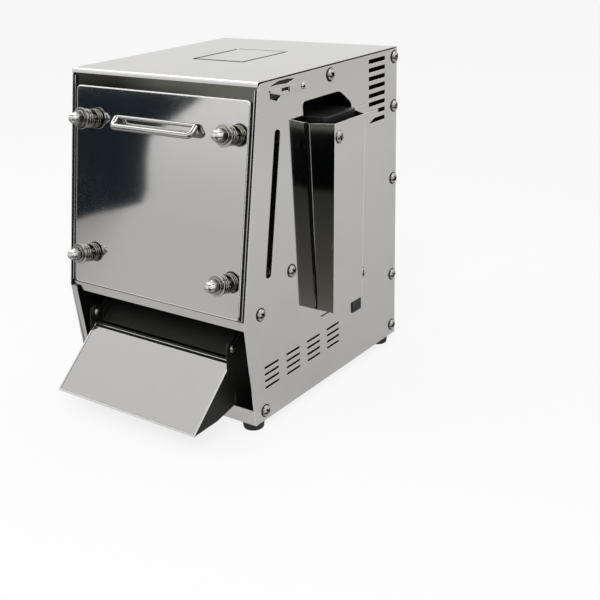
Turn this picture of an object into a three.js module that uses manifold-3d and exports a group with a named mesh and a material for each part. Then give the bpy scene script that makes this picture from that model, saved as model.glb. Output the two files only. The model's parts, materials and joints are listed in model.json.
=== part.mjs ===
import * as THREE from 'three';
import { mergeVertices } from 'three/addons/utils/BufferGeometryUtils.js';
import Module from 'manifold-3d';

// Upright flatbread press, in millimetres: X to the right of the front, Y to the rear, Z up.
// The origin is on the ground under the middle of the whole press.

// Casing
const casingWidth = 270;
const casingHeight = 378;
const casingDepth = 280.6;
const kneeHeight = 124.5;
const kneeSetback = 11.4;
const lean = THREE.MathUtils.degToRad(9.97);
const sheet = 1.2;
const seam = 0.6;
const clearance = 0.3;
const overrun = 2;
const topCornerRadius = 8;
const lipHeight = 5;
const returnFlange = 10;
const screwFlange = 21;
const floorThickness = 1.5;
const floorFlange = 19;

// Feet
const footHeight = 10;
const footRadius = 13;
const footTaper = 2;
const footInset = 14;
const rearFootShare = 1.5;
const footStudRadius = 2.5;
const footStudLength = 6;

// Casing screws
const screwRadius = 2.4;
const topScrewShares = [0.472, 0.969];
const rearScrewShares = [[0.977, 0.97], [0.977, 0.814], [0.973, 0.572], [0.97, 0.228]];
const footScrewShares = [[0.97, 0.036], [-0.048, 0.031]];
const kneeScrewSetback = 30.2514;
const kneeScrewRise = 5.91;
const crossScrewLead = 9.297;
const crossScrewRise = 23.8096;

// Side vents and the inspection slot
const upperVentCount = 8;
const upperVentStartShare = 0.464115;
const upperVentLengthShare = 0.448565;
const upperVentHeight = 5;
const upperVentPitch = 10;
const upperVentDrop = 9.7;
const lowerVentColumns = 4;
const lowerVentRows = 4;
const lowerVentStart = -11.8;
const lowerVentLength = 27;
const lowerVentHeight = 3;
const lowerVentColumnPitch = 42.3;
const lowerVentRowPitch = 8.2;
const lowerVentLevel = 39.4;
const slotLength = 160;
const slotWidth = 10;
const slotTop = 47;

// Cowl on the right side, and the hole that it covers
const cowlBottom = 98.7;
const cowlDrop = 56.5;
const cowlDepthLow = 24.5;
const cowlDepthHigh = 30.3;
const cowlFront = 93;
const cowlFrontFlare = 10.5;
const cowlWidth = 64;
const cowlRearSlope = 19.6;
const cowlFlange = 32;
const cowlEarLength = 28;
const cowlEarDrop = 17;
const cowlEarTipShare = 1 / 3;
const cowlEarFaceShare = 0.1;
const cowlScrewInset = 15;
const cowlHoleDrop = 32.5;
const cowlHoleBottom = 85;
const cowlHoleFrontHigh = 77;
const cowlHoleFrontLow = 91;
const cowlHoleRear = 176;
const cowlHoleRadius = 6;
const cowlHoleHeel = 10;
const cowlHoleChamferRun = 25;
const cowlHoleChamferDrop = 17;

// Catch strap near the top front corner of the right side
const strapStart = 19;
const strapLength = 65;
const strapHeight = 8;
const strapDrop = 11;
const strapFoot = 14;
const strapSlotWidth = 3.4;
const strapSlotStart = 19;
const strapSlotLength = 15;
const strapSlotShare = 0.48;
const strapTaper = 5.5;
const strapWindowLength = 46;
const strapWindowRise = 7.2;
const strapWindowDrop = 5;
const highWindowShares = [[0, 0.5], [0.35, 1], [0.7, 1], [1, 0.75], [0.65, 0.35], [0.35, 0.5]];
const lowWindowShares = [[0, -0.1], [0.65, -1], [1, 0], [0, 1]];

// Rocker switch low on the right side
const switchStart = 173.1;
const switchLength = 18;
const switchLevel = 66.8;
const switchHeight = 12.7;
const switchRim = 1.2;
const switchDepth = 22;
const switchWall = 1.5;
const switchWellShare = 0.6;
const rockerDipShare = 0.86;
const rockerThrow = THREE.MathUtils.degToRad(12);
const rockerPinRadius = 1;
const rockerPivotDepth = 5;

// Front cover and its pressure studs
const coverHalfWidth = 127;
const coverTop = 18;
const coverLift = 1.5;
const coverRadius = 6;
const coverThickness = 3;
const studX = 105;
const studTop = 55;
const studRise = 38;
const studRadius = 4;
const springLength = 12;
const springMeanRadius = 9.6;
const springWireRadius = 1.1;
const springTurns = 3;
const washerRadius = 12.25;
const washerThickness = 2;
const smallWasherRadius = 9;
const smallWasherThickness = 2;
const domeNutCornerRadius = 7.5;
const domeNutHexHeight = 6.5;
const domeNutDomeRadius = 6.4;
const domeNutDomeHeight = 7;
const domeNutWall = 3;

// Handle
const handleRadius = 4.2;
const handleHalfLength = 58;
const handleStandoff = 11;
const handleLevel = 60;
const handleRise = 10.3;
const handleBackRadius = 2.6;
const handleBend = 6;

// Front frame
const frameThickness = 3;
const frameTop = 5;
const frameKneeGap = 4.8869;
const frameWindowMargin = 4;
const frameFlangeTop = 25;
const frameFlange = 31;
const frameLipDrop = 11;
const frameLipBack = 5;

// Platens, heaters and ram
const platenOverStud = 13;
const platenThickness = 6.3;
const heaterInset = 2;
const heaterThickness = 3;
const insulationOverhang = 1;
const insulationThickness = 3;
const platenOpening = 46;
const stroke = 44;
const carrierThickness = 6;
const carrierHalfWidth = 120;
const carrierMargin = 15;
const carrierRadius = 6;
const columnRadius = 6;
const columnEndRadius = 5;
const bushRadius = 10;
const bushLength = 14;
const bushRear = 3;

// Rear cross plate and the column nuts
const crossPlateGap = 10.8;
const crossPlateThickness = 5;
const crossFlange = 20;
const crossFlangeThickness = 3;
const crossWindowHalfWidth = 20;
const crossWindowHalfHeight = 44;
const columnTail = 7;

// Cam drive
const camAxisDepth = 180;
const camRim = 7;
const camThickness = 10;
const camBaseRadius = 28;
const camGrooveDepth = 6;
const camHubRadius = 15;
const camHubLength = 12;
const rollerRadius = 9;
const rollerClearance = 0.4;
const rollerPinRadius = 4;
const camshaftRadius = 9;
const camshaftEnd = 4;
const armThickness = 8;
const armHeight = 24;
const armFootHalfWidth = 20;
const armFootThickness = 4;
const cheekInset = 45;
const cheekThickness = 6;
const cheekHeight = 88;
const cheekLength = 126;
const cheekFoot = 15;
const cheekBoltRadius = 3;
const cheekBoltSpread = 29;
const bearingRadius = 16;
const bearingWidth = 10;
const gearModule = 2;
const gearTeeth = 46;
const pinionTeeth = 15;
const gearWidth = 12;
const gearStart = 30;
const pinionForward = 17;
const addendumShare = 0.9;
const dedendumShare = 1.15;
const toothTipShare = 0.12;
const toothRootShare = 0.27;

// Gear motor and its stand
const pinionShaftRadius = 6;
const motorSide = 77;
const motorWidth = 64;
const motorProtrusion = 16;
const motorHeight = 90;
const motorDrop = 52;
const motorFront = 97;
const motorCornerShare = 1 / 12;
const motorGrooveShare = 1 / 9;
const motorRidgeShare = 1 / 30;
const gearheadWidth = 54;
const gearheadBossRadius = 18;
const gearheadBoss = 9;
const gearheadSkirt = 14.1044;
const shaftGrip = 13;
const standThickness = 3;
const standFoot = 14;

// Press stand under the cross plate
const pressStandHalfWidth = 100;
const pressStandSetback = 8.6666;
const pressStandFlange = 12;

// Feed hatch and feed chute
const hatchLeft = -41.4;
const hatchWidth = 72;
const hatchFront = 109;
const hatchLength = 88.4;
const hatchGap = 1;
const hatchBarrelRadius = 2.5;
const hatchPinRadius = 1.5;
const hatchPinShare = 0.75;
const hatchEar = 4;
const hatchLedge = 3;
const feedRim = 9;
const feedRearDepth = 10;
const feedFrontDepth = 40;
const feedMouth = 66;

// Discharge chute, its brackets and the deflector
const chuteHalfWidth = 108;
const chutePivotSetback = 10.562;
const chutePivotDrop = 33.5;
const chuteTipReach = 73;
const chuteTipLevel = 14;
const chuteTopReach = 2;
const chuteTopDrop = 15;
const chuteEarRadius = 9;
const chuteSkirtFrontLevel = 15;
const chuteSkirtRearLevel = 21;
const chuteSkirtRun = 33;
const chuteSkirtRear = 3;
const chuteBracketThickness = 2;
const chuteBracketReach = 79;
const chuteBracketRise = 43;
const chuteBracketFoot = 15;
const chuteNeckShare = 1.2;
const bracketNeckShare = 0.6;
const bracketEarShare = 0.9;
const bracketChinShare = 1.6;
const pivotRadius = 2.5;
const pivotHeadRadius = 4.8;
const pivotHeadHeight = 3.2;
const deflectorGap = 8;
const deflectorWall = 12;
const deflectorWallShare = 1 / 6;
const deflectorReach = 74;
const deflectorRise = 7.5;

// Rear fittings
const rearVentCount = 5;
const rearVentLength = 70;
const rearVentHeight = 4;
const rearVentPitch = 12;
const rearVentDrop = 48;
const rearVentX = 45;
const inletX = -85;
const inletZ = 60;
const inletWidth = 28;
const inletHeight = 20;
const inletDepth = 20;
const inletRim = 5;
const inletRimThickness = 2.5;
const inletWall = 2.5;
const inletPinRadius = 1.6;
const inletPinSpread = 7;
const controllerWidth = 60;
const controllerDepth = 95;
const controllerHeight = 38;
const controllerLeft = 120;
const controllerRearGap = 34.4;

// Counts of sides for round pieces
const fineSides = 48;
const roundSides = 24;
const smallSides = 16;
const holeSides = 8;

// Places worked out from the sizes above
const halfWidth = casingWidth / 2;
const panelInside = halfWidth - sheet;
const shellHalf = panelInside - clearance;
const faceHeight = casingHeight - kneeHeight;
const kneeY = -faceHeight * Math.tan(lean);
const baseFrontY = kneeY + kneeSetback;
const roofUnder = casingHeight - sheet;
const panelTop = roofUnder - seam;
const rearInside = casingDepth - sheet;
const frameBottom = faceHeight / Math.cos(lean) - frameKneeGap;
const coverBottom = frameBottom - coverLift;
const studBottom = coverBottom - studRise;
const platenRadius = (studBottom - studTop) / 2 + platenOverStud;
const heaterRadius = platenRadius - heaterInset;
const insulationRadius = platenRadius + insulationOverhang;
const frameWindowRadius = platenRadius + frameWindowMargin;
const camRadius = camBaseRadius + stroke + rollerRadius + camRim;
const cowlTop = casingHeight - cowlDrop;
const cowlHoleTop = casingHeight - cowlHoleDrop;
const upperVentRoom = casingDepth - screwFlange - cowlHoleRear;
const upperVentStart = cowlHoleRear + upperVentRoom * upperVentStartShare;
const upperVentLength = upperVentRoom * upperVentLengthShare;
const motorTop = casingHeight - motorDrop;
const chutePivotY = kneeY + chutePivotSetback;
const chutePivotZ = kneeHeight - chutePivotDrop;
const deflectorHalfWidth = chuteHalfWidth - deflectorGap;
const deflectorTopY = chutePivotY + deflectorReach;
const deflectorTopZ = kneeHeight + deflectorRise;
const rearVentTop = casingHeight - rearVentDrop;
const controllerFront = rearInside - controllerDepth - controllerRearGap;
const frameStart = coverThickness + clearance;
const frameEnd = frameStart + frameThickness;
const frontHeaterStart = frameStart + insulationThickness + clearance;
const frontPlatenStart = frontHeaterStart + heaterThickness + clearance;
const frontPlatenFace = frontPlatenStart + platenThickness;
const platenCentre = -(studTop + studBottom) / 2;
const ramFace = frontPlatenFace + platenOpening;
const ramHeaterStart = ramFace + platenThickness + clearance;
const ramInsulationStart = ramHeaterStart + heaterThickness + clearance;
const carrierStart = ramInsulationStart + insulationThickness + clearance;
const carrierEnd = carrierStart + carrierThickness;
const crossPlateStart = carrierEnd + crossPlateGap;
const crossPlateEnd = crossPlateStart + crossPlateThickness;
const carrierTop = -(studTop - carrierMargin);
const carrierBottom = -(studBottom + carrierMargin);
const gearCentres = gearModule * (gearTeeth + pinionTeeth) / 2;
const pinionDepth = camAxisDepth - pinionForward;
const pinionLevel = platenCentre - Math.sqrt(gearCentres ** 2 - pinionForward ** 2);
const studs = {
  upper_left: [-studX, 0, -studTop],
  upper_right: [studX, 0, -studTop],
  lower_left: [-studX, 0, -studBottom],
  lower_right: [studX, 0, -studBottom],
};
const studPlaces = Object.values(studs);
const chutePivot = [chutePivotY, chutePivotZ];

const wasm = await Module();
wasm.setup();

// Closed triangle mesh as a solid, with repeated points merged and empty triangles dropped
function toSolid(geometry) {
  const bare = new THREE.BufferGeometry();
  bare.setAttribute('position', geometry.getAttribute('position').clone());
  if (geometry.index) {
    bare.setIndex(geometry.index.clone());
  }
  const merged = mergeVertices(bare);
  const index = merged.index.array;
  const triangles = [];
  for (let i = 0; i < index.length; i += 3) {
    const [a, b, c] = [index[i], index[i + 1], index[i + 2]];
    if (a !== b && b !== c && c !== a) {
      triangles.push(a, b, c);
    }
  }
  const points = merged.getAttribute('position').array;
  if (signedVolume(points, triangles) < 0) {
    triangles.reverse();
  }
  return new wasm.Manifold(new wasm.Mesh({
    numProp: 3,
    vertProperties: Float32Array.from(points),
    triVerts: Uint32Array.from(triangles),
  }));
}

// Volume of a closed triangle mesh, negative where its faces point inwards
function signedVolume(points, triangles) {
  const corner = (i) => new THREE.Vector3().fromArray(points, 3 * triangles[i]);
  let volume = 0;
  for (let i = 0; i < triangles.length; i += 3) {
    volume += corner(i).dot(corner(i + 1).cross(corner(i + 2)));
  }
  return volume;
}

function toGeometry(solid) {
  const mesh = solid.getMesh();
  const geometry = new THREE.BufferGeometry();
  geometry.setAttribute('position', new THREE.BufferAttribute(Float32Array.from(mesh.vertProperties), 3));
  geometry.setIndex(new THREE.BufferAttribute(Uint32Array.from(mesh.triVerts), 1));
  geometry.computeVertexNormals();
  return geometry;
}

function join(...pieces) {
  return toGeometry(pieces.map(toSolid).reduce((whole, piece) => whole.add(piece)));
}

function cut(body, ...tools) {
  return toGeometry(tools.map(toSolid).reduce((whole, tool) => whole.subtract(tool), toSolid(body)));
}

// Box between two places on each axis
function block([x0, x1], [y0, y1], [z0, z1]) {
  const box = new THREE.BoxGeometry(x1 - x0, y1 - y0, z1 - z0);
  return box.translate((x0 + x1) / 2, (y0 + y1) / 2, (z0 + z1) / 2);
}

// Outline through points with every corner rounded, or sharp where the radius is zero
function rounded(points, radius = 0) {
  const path = new THREE.Shape();
  points.forEach(([u, v], i) => {
    const corner = new THREE.Vector2(u, v);
    const toBefore = new THREE.Vector2(...points.at(i - 1)).sub(corner);
    const toAfter = new THREE.Vector2(...points[(i + 1) % points.length]).sub(corner);
    const start = corner.clone().add(toBefore.setLength(radius));
    const end = corner.clone().add(toAfter.setLength(radius));
    if (i === 0) {
      path.moveTo(start.x, start.y);
    } else {
      path.lineTo(start.x, start.y);
    }
    if (radius > 0) {
      path.quadraticCurveTo(u, v, end.x, end.y);
    }
  });
  path.closePath();
  return path;
}

function rectangle([u0, u1], [v0, v1], radius = 0) {
  return rounded([[u0, v0], [u1, v0], [u1, v1], [u0, v1]], radius);
}

function circle(u, v, radius, sides = smallSides) {
  const points = [];
  for (let i = 0; i < sides; i += 1) {
    const angle = 2 * Math.PI * i / sides;
    points.push([u + radius * Math.cos(angle), v + radius * Math.sin(angle)]);
  }
  return rounded(points);
}

// Outline made thick along the axis that it faces, with holes cut through it
function slab(axis, [from, to], outline, holes = []) {
  const options = { depth: to - from, bevelEnabled: false, curveSegments: 4 };
  const solid = new THREE.ExtrudeGeometry(outline, options);
  const [x, y, z] = [new THREE.Vector3(1, 0, 0), new THREE.Vector3(0, 1, 0), new THREE.Vector3(0, 0, 1)];
  if (axis === 'x') {
    solid.applyMatrix4(new THREE.Matrix4().makeBasis(y, z, x)).translate(from, 0, 0);
  } else if (axis === 'y') {
    solid.applyMatrix4(new THREE.Matrix4().makeBasis(x, z, y.negate())).translate(0, to, 0);
  } else {
    solid.translate(0, 0, from);
  }
  if (holes.length === 0) {
    return solid;
  }
  return cut(solid, ...holes.map((hole) => slab(axis, [from - overrun, to + overrun], hole)));
}

// Turned piece from [radius, place] pairs along an axis
function turned(axis, profile, sides = smallSides) {
  const points = profile.map(([radius, place]) => new THREE.Vector2(radius, place));
  const solid = new THREE.LatheGeometry(points, sides);
  if (axis === 'x') {
    solid.rotateZ(-Math.PI / 2);
  }
  if (axis === 'z') {
    solid.rotateX(Math.PI / 2);
  }
  return toGeometry(toSolid(solid));
}

function rod(axis, radius, [from, to], sides = smallSides) {
  return turned(axis, [[0, from], [radius, from], [radius, to], [0, to]], sides);
}

function ring(axis, inner, outer, [from, to], sides = smallSides) {
  return turned(axis, [[inner, from], [outer, from], [outer, to], [inner, to], [inner, from]], sides);
}

// Spans across of a left and a right wall whose outer faces lie half a width from the middle
function bothSides(half, thickness) {
  return [[-half, thickness - half], [half - thickness, half]];
}

function finish(color, roughness, metalness) {
  return new THREE.MeshStandardMaterial({ color, roughness, metalness });
}

function add(parent, name, geometry, material) {
  const mesh = new THREE.Mesh(geometry, material);
  mesh.name = name;
  parent.add(mesh);
  return mesh;
}

// Copies of one piece, each its own mesh, at places that have names
function addEach(parent, name, geometry, material, places) {
  for (const [place, position] of Object.entries(places)) {
    add(parent, `${place}_${name}`, geometry, material).position.set(...position);
  }
}

const polishedSteel = () => finish(0xc9c8c4, 0.12, 1);
const plainSteel = () => finish(0x9a9a98, 0.35, 1);
const darkSteel = () => finish(0x5a5a5c, 0.45, 1);
const brightScrew = () => finish(0xd6d6d4, 0.15, 1);
const blackPlastic = () => finish(0x141414, 0.4, 0);
const blackRubber = () => finish(0x101010, 0.85, 0);
const castIron = () => finish(0x3c3c3e, 0.7, 0.6);
const aluminium = () => finish(0xb8babc, 0.4, 1);
const mica = () => finish(0xcfc3a2, 0.8, 0);
const motorPaint = () => finish(0x1c1c1e, 0.5, 0.2);

// Side view place of a point that lies a depth behind the leaning face and a way down it
function fromFace(depth, down) {
  return [
    depth * Math.cos(lean) - down * Math.sin(lean),
    casingHeight - down * Math.cos(lean) - depth * Math.sin(lean),
  ];
}

function facePolygon(depths, downs) {
  return [[depths[0], downs[0]], [depths[1], downs[0]], [depths[1], downs[1]], [depths[0], downs[1]]]
    .map(([depth, down]) => fromFace(depth, down));
}

// Side panels
const fromShares = ([y, z]) => [y * casingDepth, z * casingHeight];
const topScrew = fromShares(topScrewShares);
const rearScrews = rearScrewShares.map(fromShares);
const footScrews = footScrewShares.map(fromShares);
const kneeScrew = [kneeY + kneeScrewSetback, kneeHeight + kneeScrewRise];
const crossScrew = fromFace(crossPlateStart - crossScrewLead, -carrierBottom - crossScrewRise);
const screwPlaces = [topScrew, ...rearScrews, ...footScrews, kneeScrew, crossScrew];

function sideOutline() {
  const front = seam;
  const corner = fromFace(0, 0);
  const shape = new THREE.Shape();
  shape.moveTo(baseFrontY + front, 0);
  shape.lineTo(casingDepth, 0);
  shape.lineTo(casingDepth, panelTop);
  shape.lineTo(corner[0] + topCornerRadius, panelTop);
  const low = fromFace(0, topCornerRadius + sheet);
  shape.quadraticCurveTo(corner[0], panelTop, low[0] + front, low[1]);
  shape.lineTo(kneeY + front, kneeHeight);
  shape.closePath();
  return shape;
}

function upperVents() {
  const holes = [];
  for (let row = 0; row < upperVentCount; row += 1) {
    const z = casingHeight - upperVentDrop - row * upperVentPitch;
    holes.push(rectangle([upperVentStart, upperVentStart + upperVentLength],
      [z - upperVentHeight / 2, z + upperVentHeight / 2]));
  }
  return holes;
}

function lowerVents() {
  const holes = [];
  for (let column = 0; column < lowerVentColumns; column += 1) {
    for (let row = 0; row < lowerVentRows; row += 1) {
      const y = lowerVentStart + column * lowerVentColumnPitch;
      const z = lowerVentLevel + row * lowerVentRowPitch;
      holes.push(rectangle([y, y + lowerVentLength], [z - lowerVentHeight / 2, z + lowerVentHeight / 2]));
    }
  }
  return holes;
}

function screwHoles(places, radius = screwRadius) {
  return places.map(([y, z]) => circle(y, z, radius + clearance, holeSides));
}

const slotDepth = frontPlatenFace + platenOpening / 2;
const strapTop = casingHeight - strapDrop;
const strapBottom = strapTop - strapHeight;
const strapRivets = [[strapStart + strapLength - strapFoot / 2, (strapTop + strapBottom) / 2]];
const switchCentre = [switchStart + switchLength / 2, switchLevel + switchHeight / 2];
const cowlFlangeStart = cowlFront + cowlWidth + cowlRearSlope;
const cowlScrewY = cowlFlangeStart + cowlFlange / 2;
const cowlScrewLevels = [cowlBottom + cowlScrewInset, cowlTop - cowlScrewInset];
const cowlScrewPlaces = cowlScrewLevels.map((z) => [cowlScrewY, z]);

function cowlHole() {
  return rounded([
    [cowlHoleFrontLow, cowlHoleBottom + cowlHoleHeel],
    [cowlHoleFrontLow + cowlHoleHeel, cowlHoleBottom],
    [cowlHoleRear, cowlHoleBottom],
    [cowlHoleRear, cowlHoleTop - cowlHoleChamferDrop],
    [cowlHoleRear - cowlHoleChamferRun, cowlHoleTop],
    [cowlHoleFrontHigh, cowlHoleTop],
  ], cowlHoleRadius);
}

function strapWindows() {
  const high = highWindowShares.map(
    ([y, z]) => [strapStart + strapWindowLength * y, strapTop + strapWindowRise * z],
  );
  const low = lowWindowShares.map(
    ([y, z]) => [strapStart + strapSlotStart * y, strapBottom + strapWindowDrop * z],
  );
  return [rounded(high), rounded(low)];
}

// Hook-shaped slot through the strap and the panel behind it
function strapSlot() {
  const slotRise = strapHeight * strapSlotShare;
  const start = strapStart + strapSlotStart;
  const end = start + strapSlotLength;
  return rounded([
    [start, strapBottom + slotRise], [end - strapSlotWidth, strapBottom + slotRise],
    [end - strapSlotWidth, strapBottom + strapSlotWidth / 2], [end, strapBottom + strapSlotWidth / 2],
    [end, strapBottom + slotRise + strapSlotWidth], [start, strapBottom + slotRise + strapSlotWidth],
  ]);
}

function rightPanel() {
  const slot = rounded(facePolygon(
    [slotDepth - slotWidth / 2, slotDepth + slotWidth / 2],
    [slotTop, slotTop + slotLength],
  ), slotWidth / 2 - clearance);
  const switchHole = rectangle([switchStart, switchStart + switchLength],
    [switchLevel, switchLevel + switchHeight]);
  const holes = [
    ...upperVents(), ...lowerVents(),
    ...screwHoles(screwPlaces), ...screwHoles(cowlScrewPlaces), ...screwHoles(strapRivets),
    ...strapWindows(), strapSlot(), slot, cowlHole(), switchHole,
  ];
  return slab('x', [panelInside, halfWidth], sideOutline(), holes);
}

function leftPanel() {
  const holes = [...upperVents(), ...screwHoles(screwPlaces)];
  const panel = slab('x', [-halfWidth, -panelInside], sideOutline(), holes);
  const flange = slab('x', [-halfWidth, returnFlange - halfWidth], rounded([
    [baseFrontY + seam, floorFlange + seam],
    [baseFrontY + seam + sheet, floorFlange + seam],
    [kneeY + seam + sheet, kneeHeight - seam],
    [kneeY + seam, kneeHeight - seam],
  ]));
  return join(panel, flange);
}

// Roof with its front lip, the side flanges and the ears that hold the hatch pin
const hatchRight = hatchLeft + hatchWidth;
const hatchRear = hatchFront + hatchLength;
const hatchAxisY = hatchRear - hatchBarrelRadius;
const hatchAxisZ = casingHeight - hatchBarrelRadius;

function hatchEars(grow) {
  const width = hatchEar + grow;
  const reach = hatchBarrelRadius * 2 + grow;
  const left = hatchLeft - hatchGap;
  const right = hatchRight + hatchGap;
  const ys = [hatchAxisY - reach, hatchAxisY + reach];
  const zs = [hatchAxisZ - reach, roofUnder + sheet / 2];
  return [[left - width, left], [right, right + width]].map((xs) => block(xs, ys, zs));
}

function topPanel() {
  const flangeEnd = upperVentStart - returnFlange;
  const opening = rectangle([hatchLeft - hatchGap, hatchRight + hatchGap],
    [hatchFront - hatchGap, hatchRear + hatchGap]);
  const plate = slab('z', [roofUnder, casingHeight],
    rectangle([-halfWidth, halfWidth], [0, casingDepth]), [opening]);
  const lip = slab('x', [-halfWidth, halfWidth],
    rounded(facePolygon([0, sheet], [0, lipHeight])));
  const flange = rectangle([returnFlange * 2, flangeEnd],
    [casingHeight - screwFlange, roofUnder + sheet / 2]);
  const flanges = bothSides(shellHalf, sheet).map((xs) => slab('x', xs, flange, screwHoles([topScrew])));
  const drill = rod('x', hatchPinRadius + clearance,
    [hatchLeft - hatchGap - hatchEar * hatchPinShare, hatchRight + hatchGap + hatchEar * hatchPinShare])
    .translate(0, hatchAxisY, hatchAxisZ);
  return cut(join(plate, lip, ...flanges, ...hatchEars(0)), drill);
}

function hatchLid() {
  const plate = block([hatchLeft, hatchRight], [hatchFront, hatchAxisY], [roofUnder, casingHeight]);
  const barrel = rod('x', hatchBarrelRadius, [hatchLeft, hatchRight]).translate(0, hatchAxisY, hatchAxisZ);
  const reach = hatchGap + hatchEar * hatchPinShare - clearance;
  const pin = rod('x', hatchPinRadius, [hatchLeft - reach, hatchRight + reach])
    .translate(0, hatchAxisY, hatchAxisZ);
  return join(plate, barrel, pin);
}

// Feed chute: a rim under the roof, a sloping floor and two side walls
function feedChute() {
  const rimTop = roofUnder - clearance;
  const rimLow = rimTop - sheet;
  const inside = [hatchLeft + hatchLedge, hatchRight - hatchLedge];
  const outside = [inside[0] - sheet, inside[1] + sheet];
  const rimRear = hatchRear + feedRim;
  const frontDepth = casingHeight - feedFrontDepth;
  const rearDepth = casingHeight - feedRearDepth;
  const rim = block([hatchLeft - feedRim, hatchRight + feedRim], [hatchFront - feedRim, rimRear],
    [rimLow, rimTop]);
  const walls = [[outside[0], inside[0]], [inside[1], outside[1]]].map((xs) => slab('x', xs, rounded([
    [feedMouth, frontDepth - sheet], [hatchRear, rearDepth - sheet], [hatchRear, rimTop],
    [hatchFront, rimTop], [feedMouth, frontDepth + feedRearDepth],
  ])));
  const floor = slab('x', outside, rounded([
    [feedMouth, frontDepth - sheet], [hatchRear, rearDepth - sheet],
    [hatchRear, rearDepth], [feedMouth, frontDepth],
  ]));
  const rear = block(outside, [hatchRear, hatchRear + sheet], [rearDepth - sheet, rimTop]);
  const mouth = block(inside, [hatchFront + hatchLedge, hatchAxisY - hatchBarrelRadius * 2],
    [rimLow - overrun, rimTop + overrun]);
  const earRoom = block([hatchLeft - hatchGap - hatchEar - seam, hatchRight + hatchGap + hatchEar + seam],
    [hatchAxisY - hatchBarrelRadius * 2 - seam, hatchAxisY + hatchBarrelRadius * 2 + seam],
    [hatchAxisZ - hatchBarrelRadius * 2 - seam, rimTop + overrun]);
  return cut(join(rim, ...walls, floor, rear), mouth, earRoom);
}

// Rear panel with side flanges, vents and the inlet's hole
function rearPanel() {
  const low = floorFlange + seam * 2;
  const holes = [];
  for (let row = 0; row < rearVentCount; row += 1) {
    const z = rearVentTop - row * rearVentPitch;
    for (const x of [-rearVentX, rearVentX]) {
      holes.push(rectangle([x - rearVentLength / 2, x + rearVentLength / 2],
        [z - rearVentHeight / 2, z + rearVentHeight / 2]));
    }
  }
  const fit = clearance;
  holes.push(rectangle([inletX - inletWidth / 2 - fit, inletX + inletWidth / 2 + fit],
    [inletZ - inletHeight / 2 - fit, inletZ + inletHeight / 2 + fit]));
  const outline = rectangle([-shellHalf, shellHalf], [low, panelTop]);
  const plate = slab('y', [rearInside, casingDepth], outline, holes);
  const flanges = bothSides(shellHalf, sheet).map((xs) => slab('x', xs,
    rectangle([casingDepth - screwFlange, rearInside + sheet / 2], [low, panelTop]), screwHoles(rearScrews)));
  return join(plate, ...flanges);
}

// Floor pan with upright edges on all four sides
const footFront = baseFrontY + footInset;
const footRear = casingDepth - footInset * rearFootShare;
const footX = halfWidth - footInset;
const feet = {
  front_left: [-footX, footFront, 0],
  front_right: [footX, footFront, 0],
  rear_left: [-footX, footRear, 0],
  rear_right: [footX, footRear, 0],
};

function basePan() {
  const rear = rearInside - clearance;
  const floor = slab('z', [0, floorThickness], rectangle([-shellHalf, shellHalf], [baseFrontY, rear]),
    Object.values(feet).map(([x, y]) => circle(x, y, footStudRadius + clearance, holeSides)));
  const front = block([-shellHalf, shellHalf], [baseFrontY, baseFrontY + floorThickness], [0, floorFlange]);
  const back = block([-shellHalf, shellHalf], [rear - floorThickness, rear], [0, floorFlange]);
  const sides = bothSides(shellHalf, floorThickness).map((xs) => slab('x', xs,
    rectangle([baseFrontY, rear], [0, floorFlange]), screwHoles(footScrews)));
  return join(floor, front, back, ...sides);
}

function foot() {
  return turned('z', [
    [0, -footHeight], [footRadius - footTaper, -footHeight], [footRadius, -clearance],
    [footStudRadius, -clearance], [footStudRadius, footStudLength], [0, footStudLength],
  ], 24);
}

// Cowl: a channel of sheet that narrows downwards and stands off the right side
function prism(low, high, z0, z1) {
  const points = [...low.map(([x, y]) => [x, y, z0]), ...high.map(([x, y]) => [x, y, z1])];
  const count = low.length;
  const triangles = [];
  for (let i = 0; i < count; i += 1) {
    const next = (i + 1) % count;
    triangles.push(i, next, count + next, i, count + next, count + i);
  }
  for (let i = 1; i < count - 1; i += 1) {
    triangles.push(0, i + 1, i, count, count + i, count + i + 1);
  }
  const geometry = new THREE.BufferGeometry();
  geometry.setAttribute('position', new THREE.Float32BufferAttribute(points.flat(), 3));
  geometry.setIndex(triangles);
  return geometry;
}

function cowl() {
  const base = halfWidth + clearance;
  const rear = cowlFront + cowlWidth;
  const section = (depth, flare, wall) => [
    [base - wall * 2, cowlFront - flare + wall],
    [halfWidth + depth - wall, cowlFront + wall],
    [halfWidth + depth - wall, rear - wall],
    [base - wall * 2, cowlFlangeStart - wall],
  ];
  const outer = prism(section(cowlDepthLow, 0, 0), section(cowlDepthHigh, cowlFrontFlare, 0),
    cowlBottom, cowlTop);
  const slope = (cowlDepthHigh - cowlDepthLow) / (cowlTop - cowlBottom);
  const extra = slope * overrun;
  const innerLow = section(cowlDepthLow - extra, 0, sheet);
  const innerHigh = section(cowlDepthHigh + extra, cowlFrontFlare, sheet);
  const inner = prism(innerLow, innerHigh, cowlBottom - overrun, cowlTop + overrun);
  const flangeOutline = rectangle([cowlFlangeStart - sheet * 2, cowlFlangeStart + cowlFlange],
    [cowlBottom, cowlTop]);
  const flange = slab('x', [base, base + sheet], flangeOutline, screwHoles(cowlScrewPlaces));
  const earDepth = halfWidth + cowlDepthHigh;
  const ear = slab('x', [earDepth - sheet, earDepth - sheet * cowlEarFaceShare], rounded([
    [rear - sheet, cowlTop - cowlEarDrop], [rear + cowlEarLength, cowlTop - cowlEarDrop * cowlEarTipShare],
    [rear + cowlEarLength, cowlTop], [rear - sheet, cowlTop],
  ]));
  return join(cut(outer, inner), flange, ear);
}

function catchStrap() {
  const base = halfWidth + clearance;
  const rise = sheet;
  const top = strapTop;
  const slotStart = strapStart + strapSlotStart;
  const outline = rounded([
    [strapStart, strapBottom + strapTaper], [slotStart, strapBottom], [strapStart + strapLength, strapBottom],
    [strapStart + strapLength, top], [strapStart, top],
  ]);
  return slab('x', [base, base + rise], outline, [strapSlot(), ...screwHoles(strapRivets)]);
}

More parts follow.
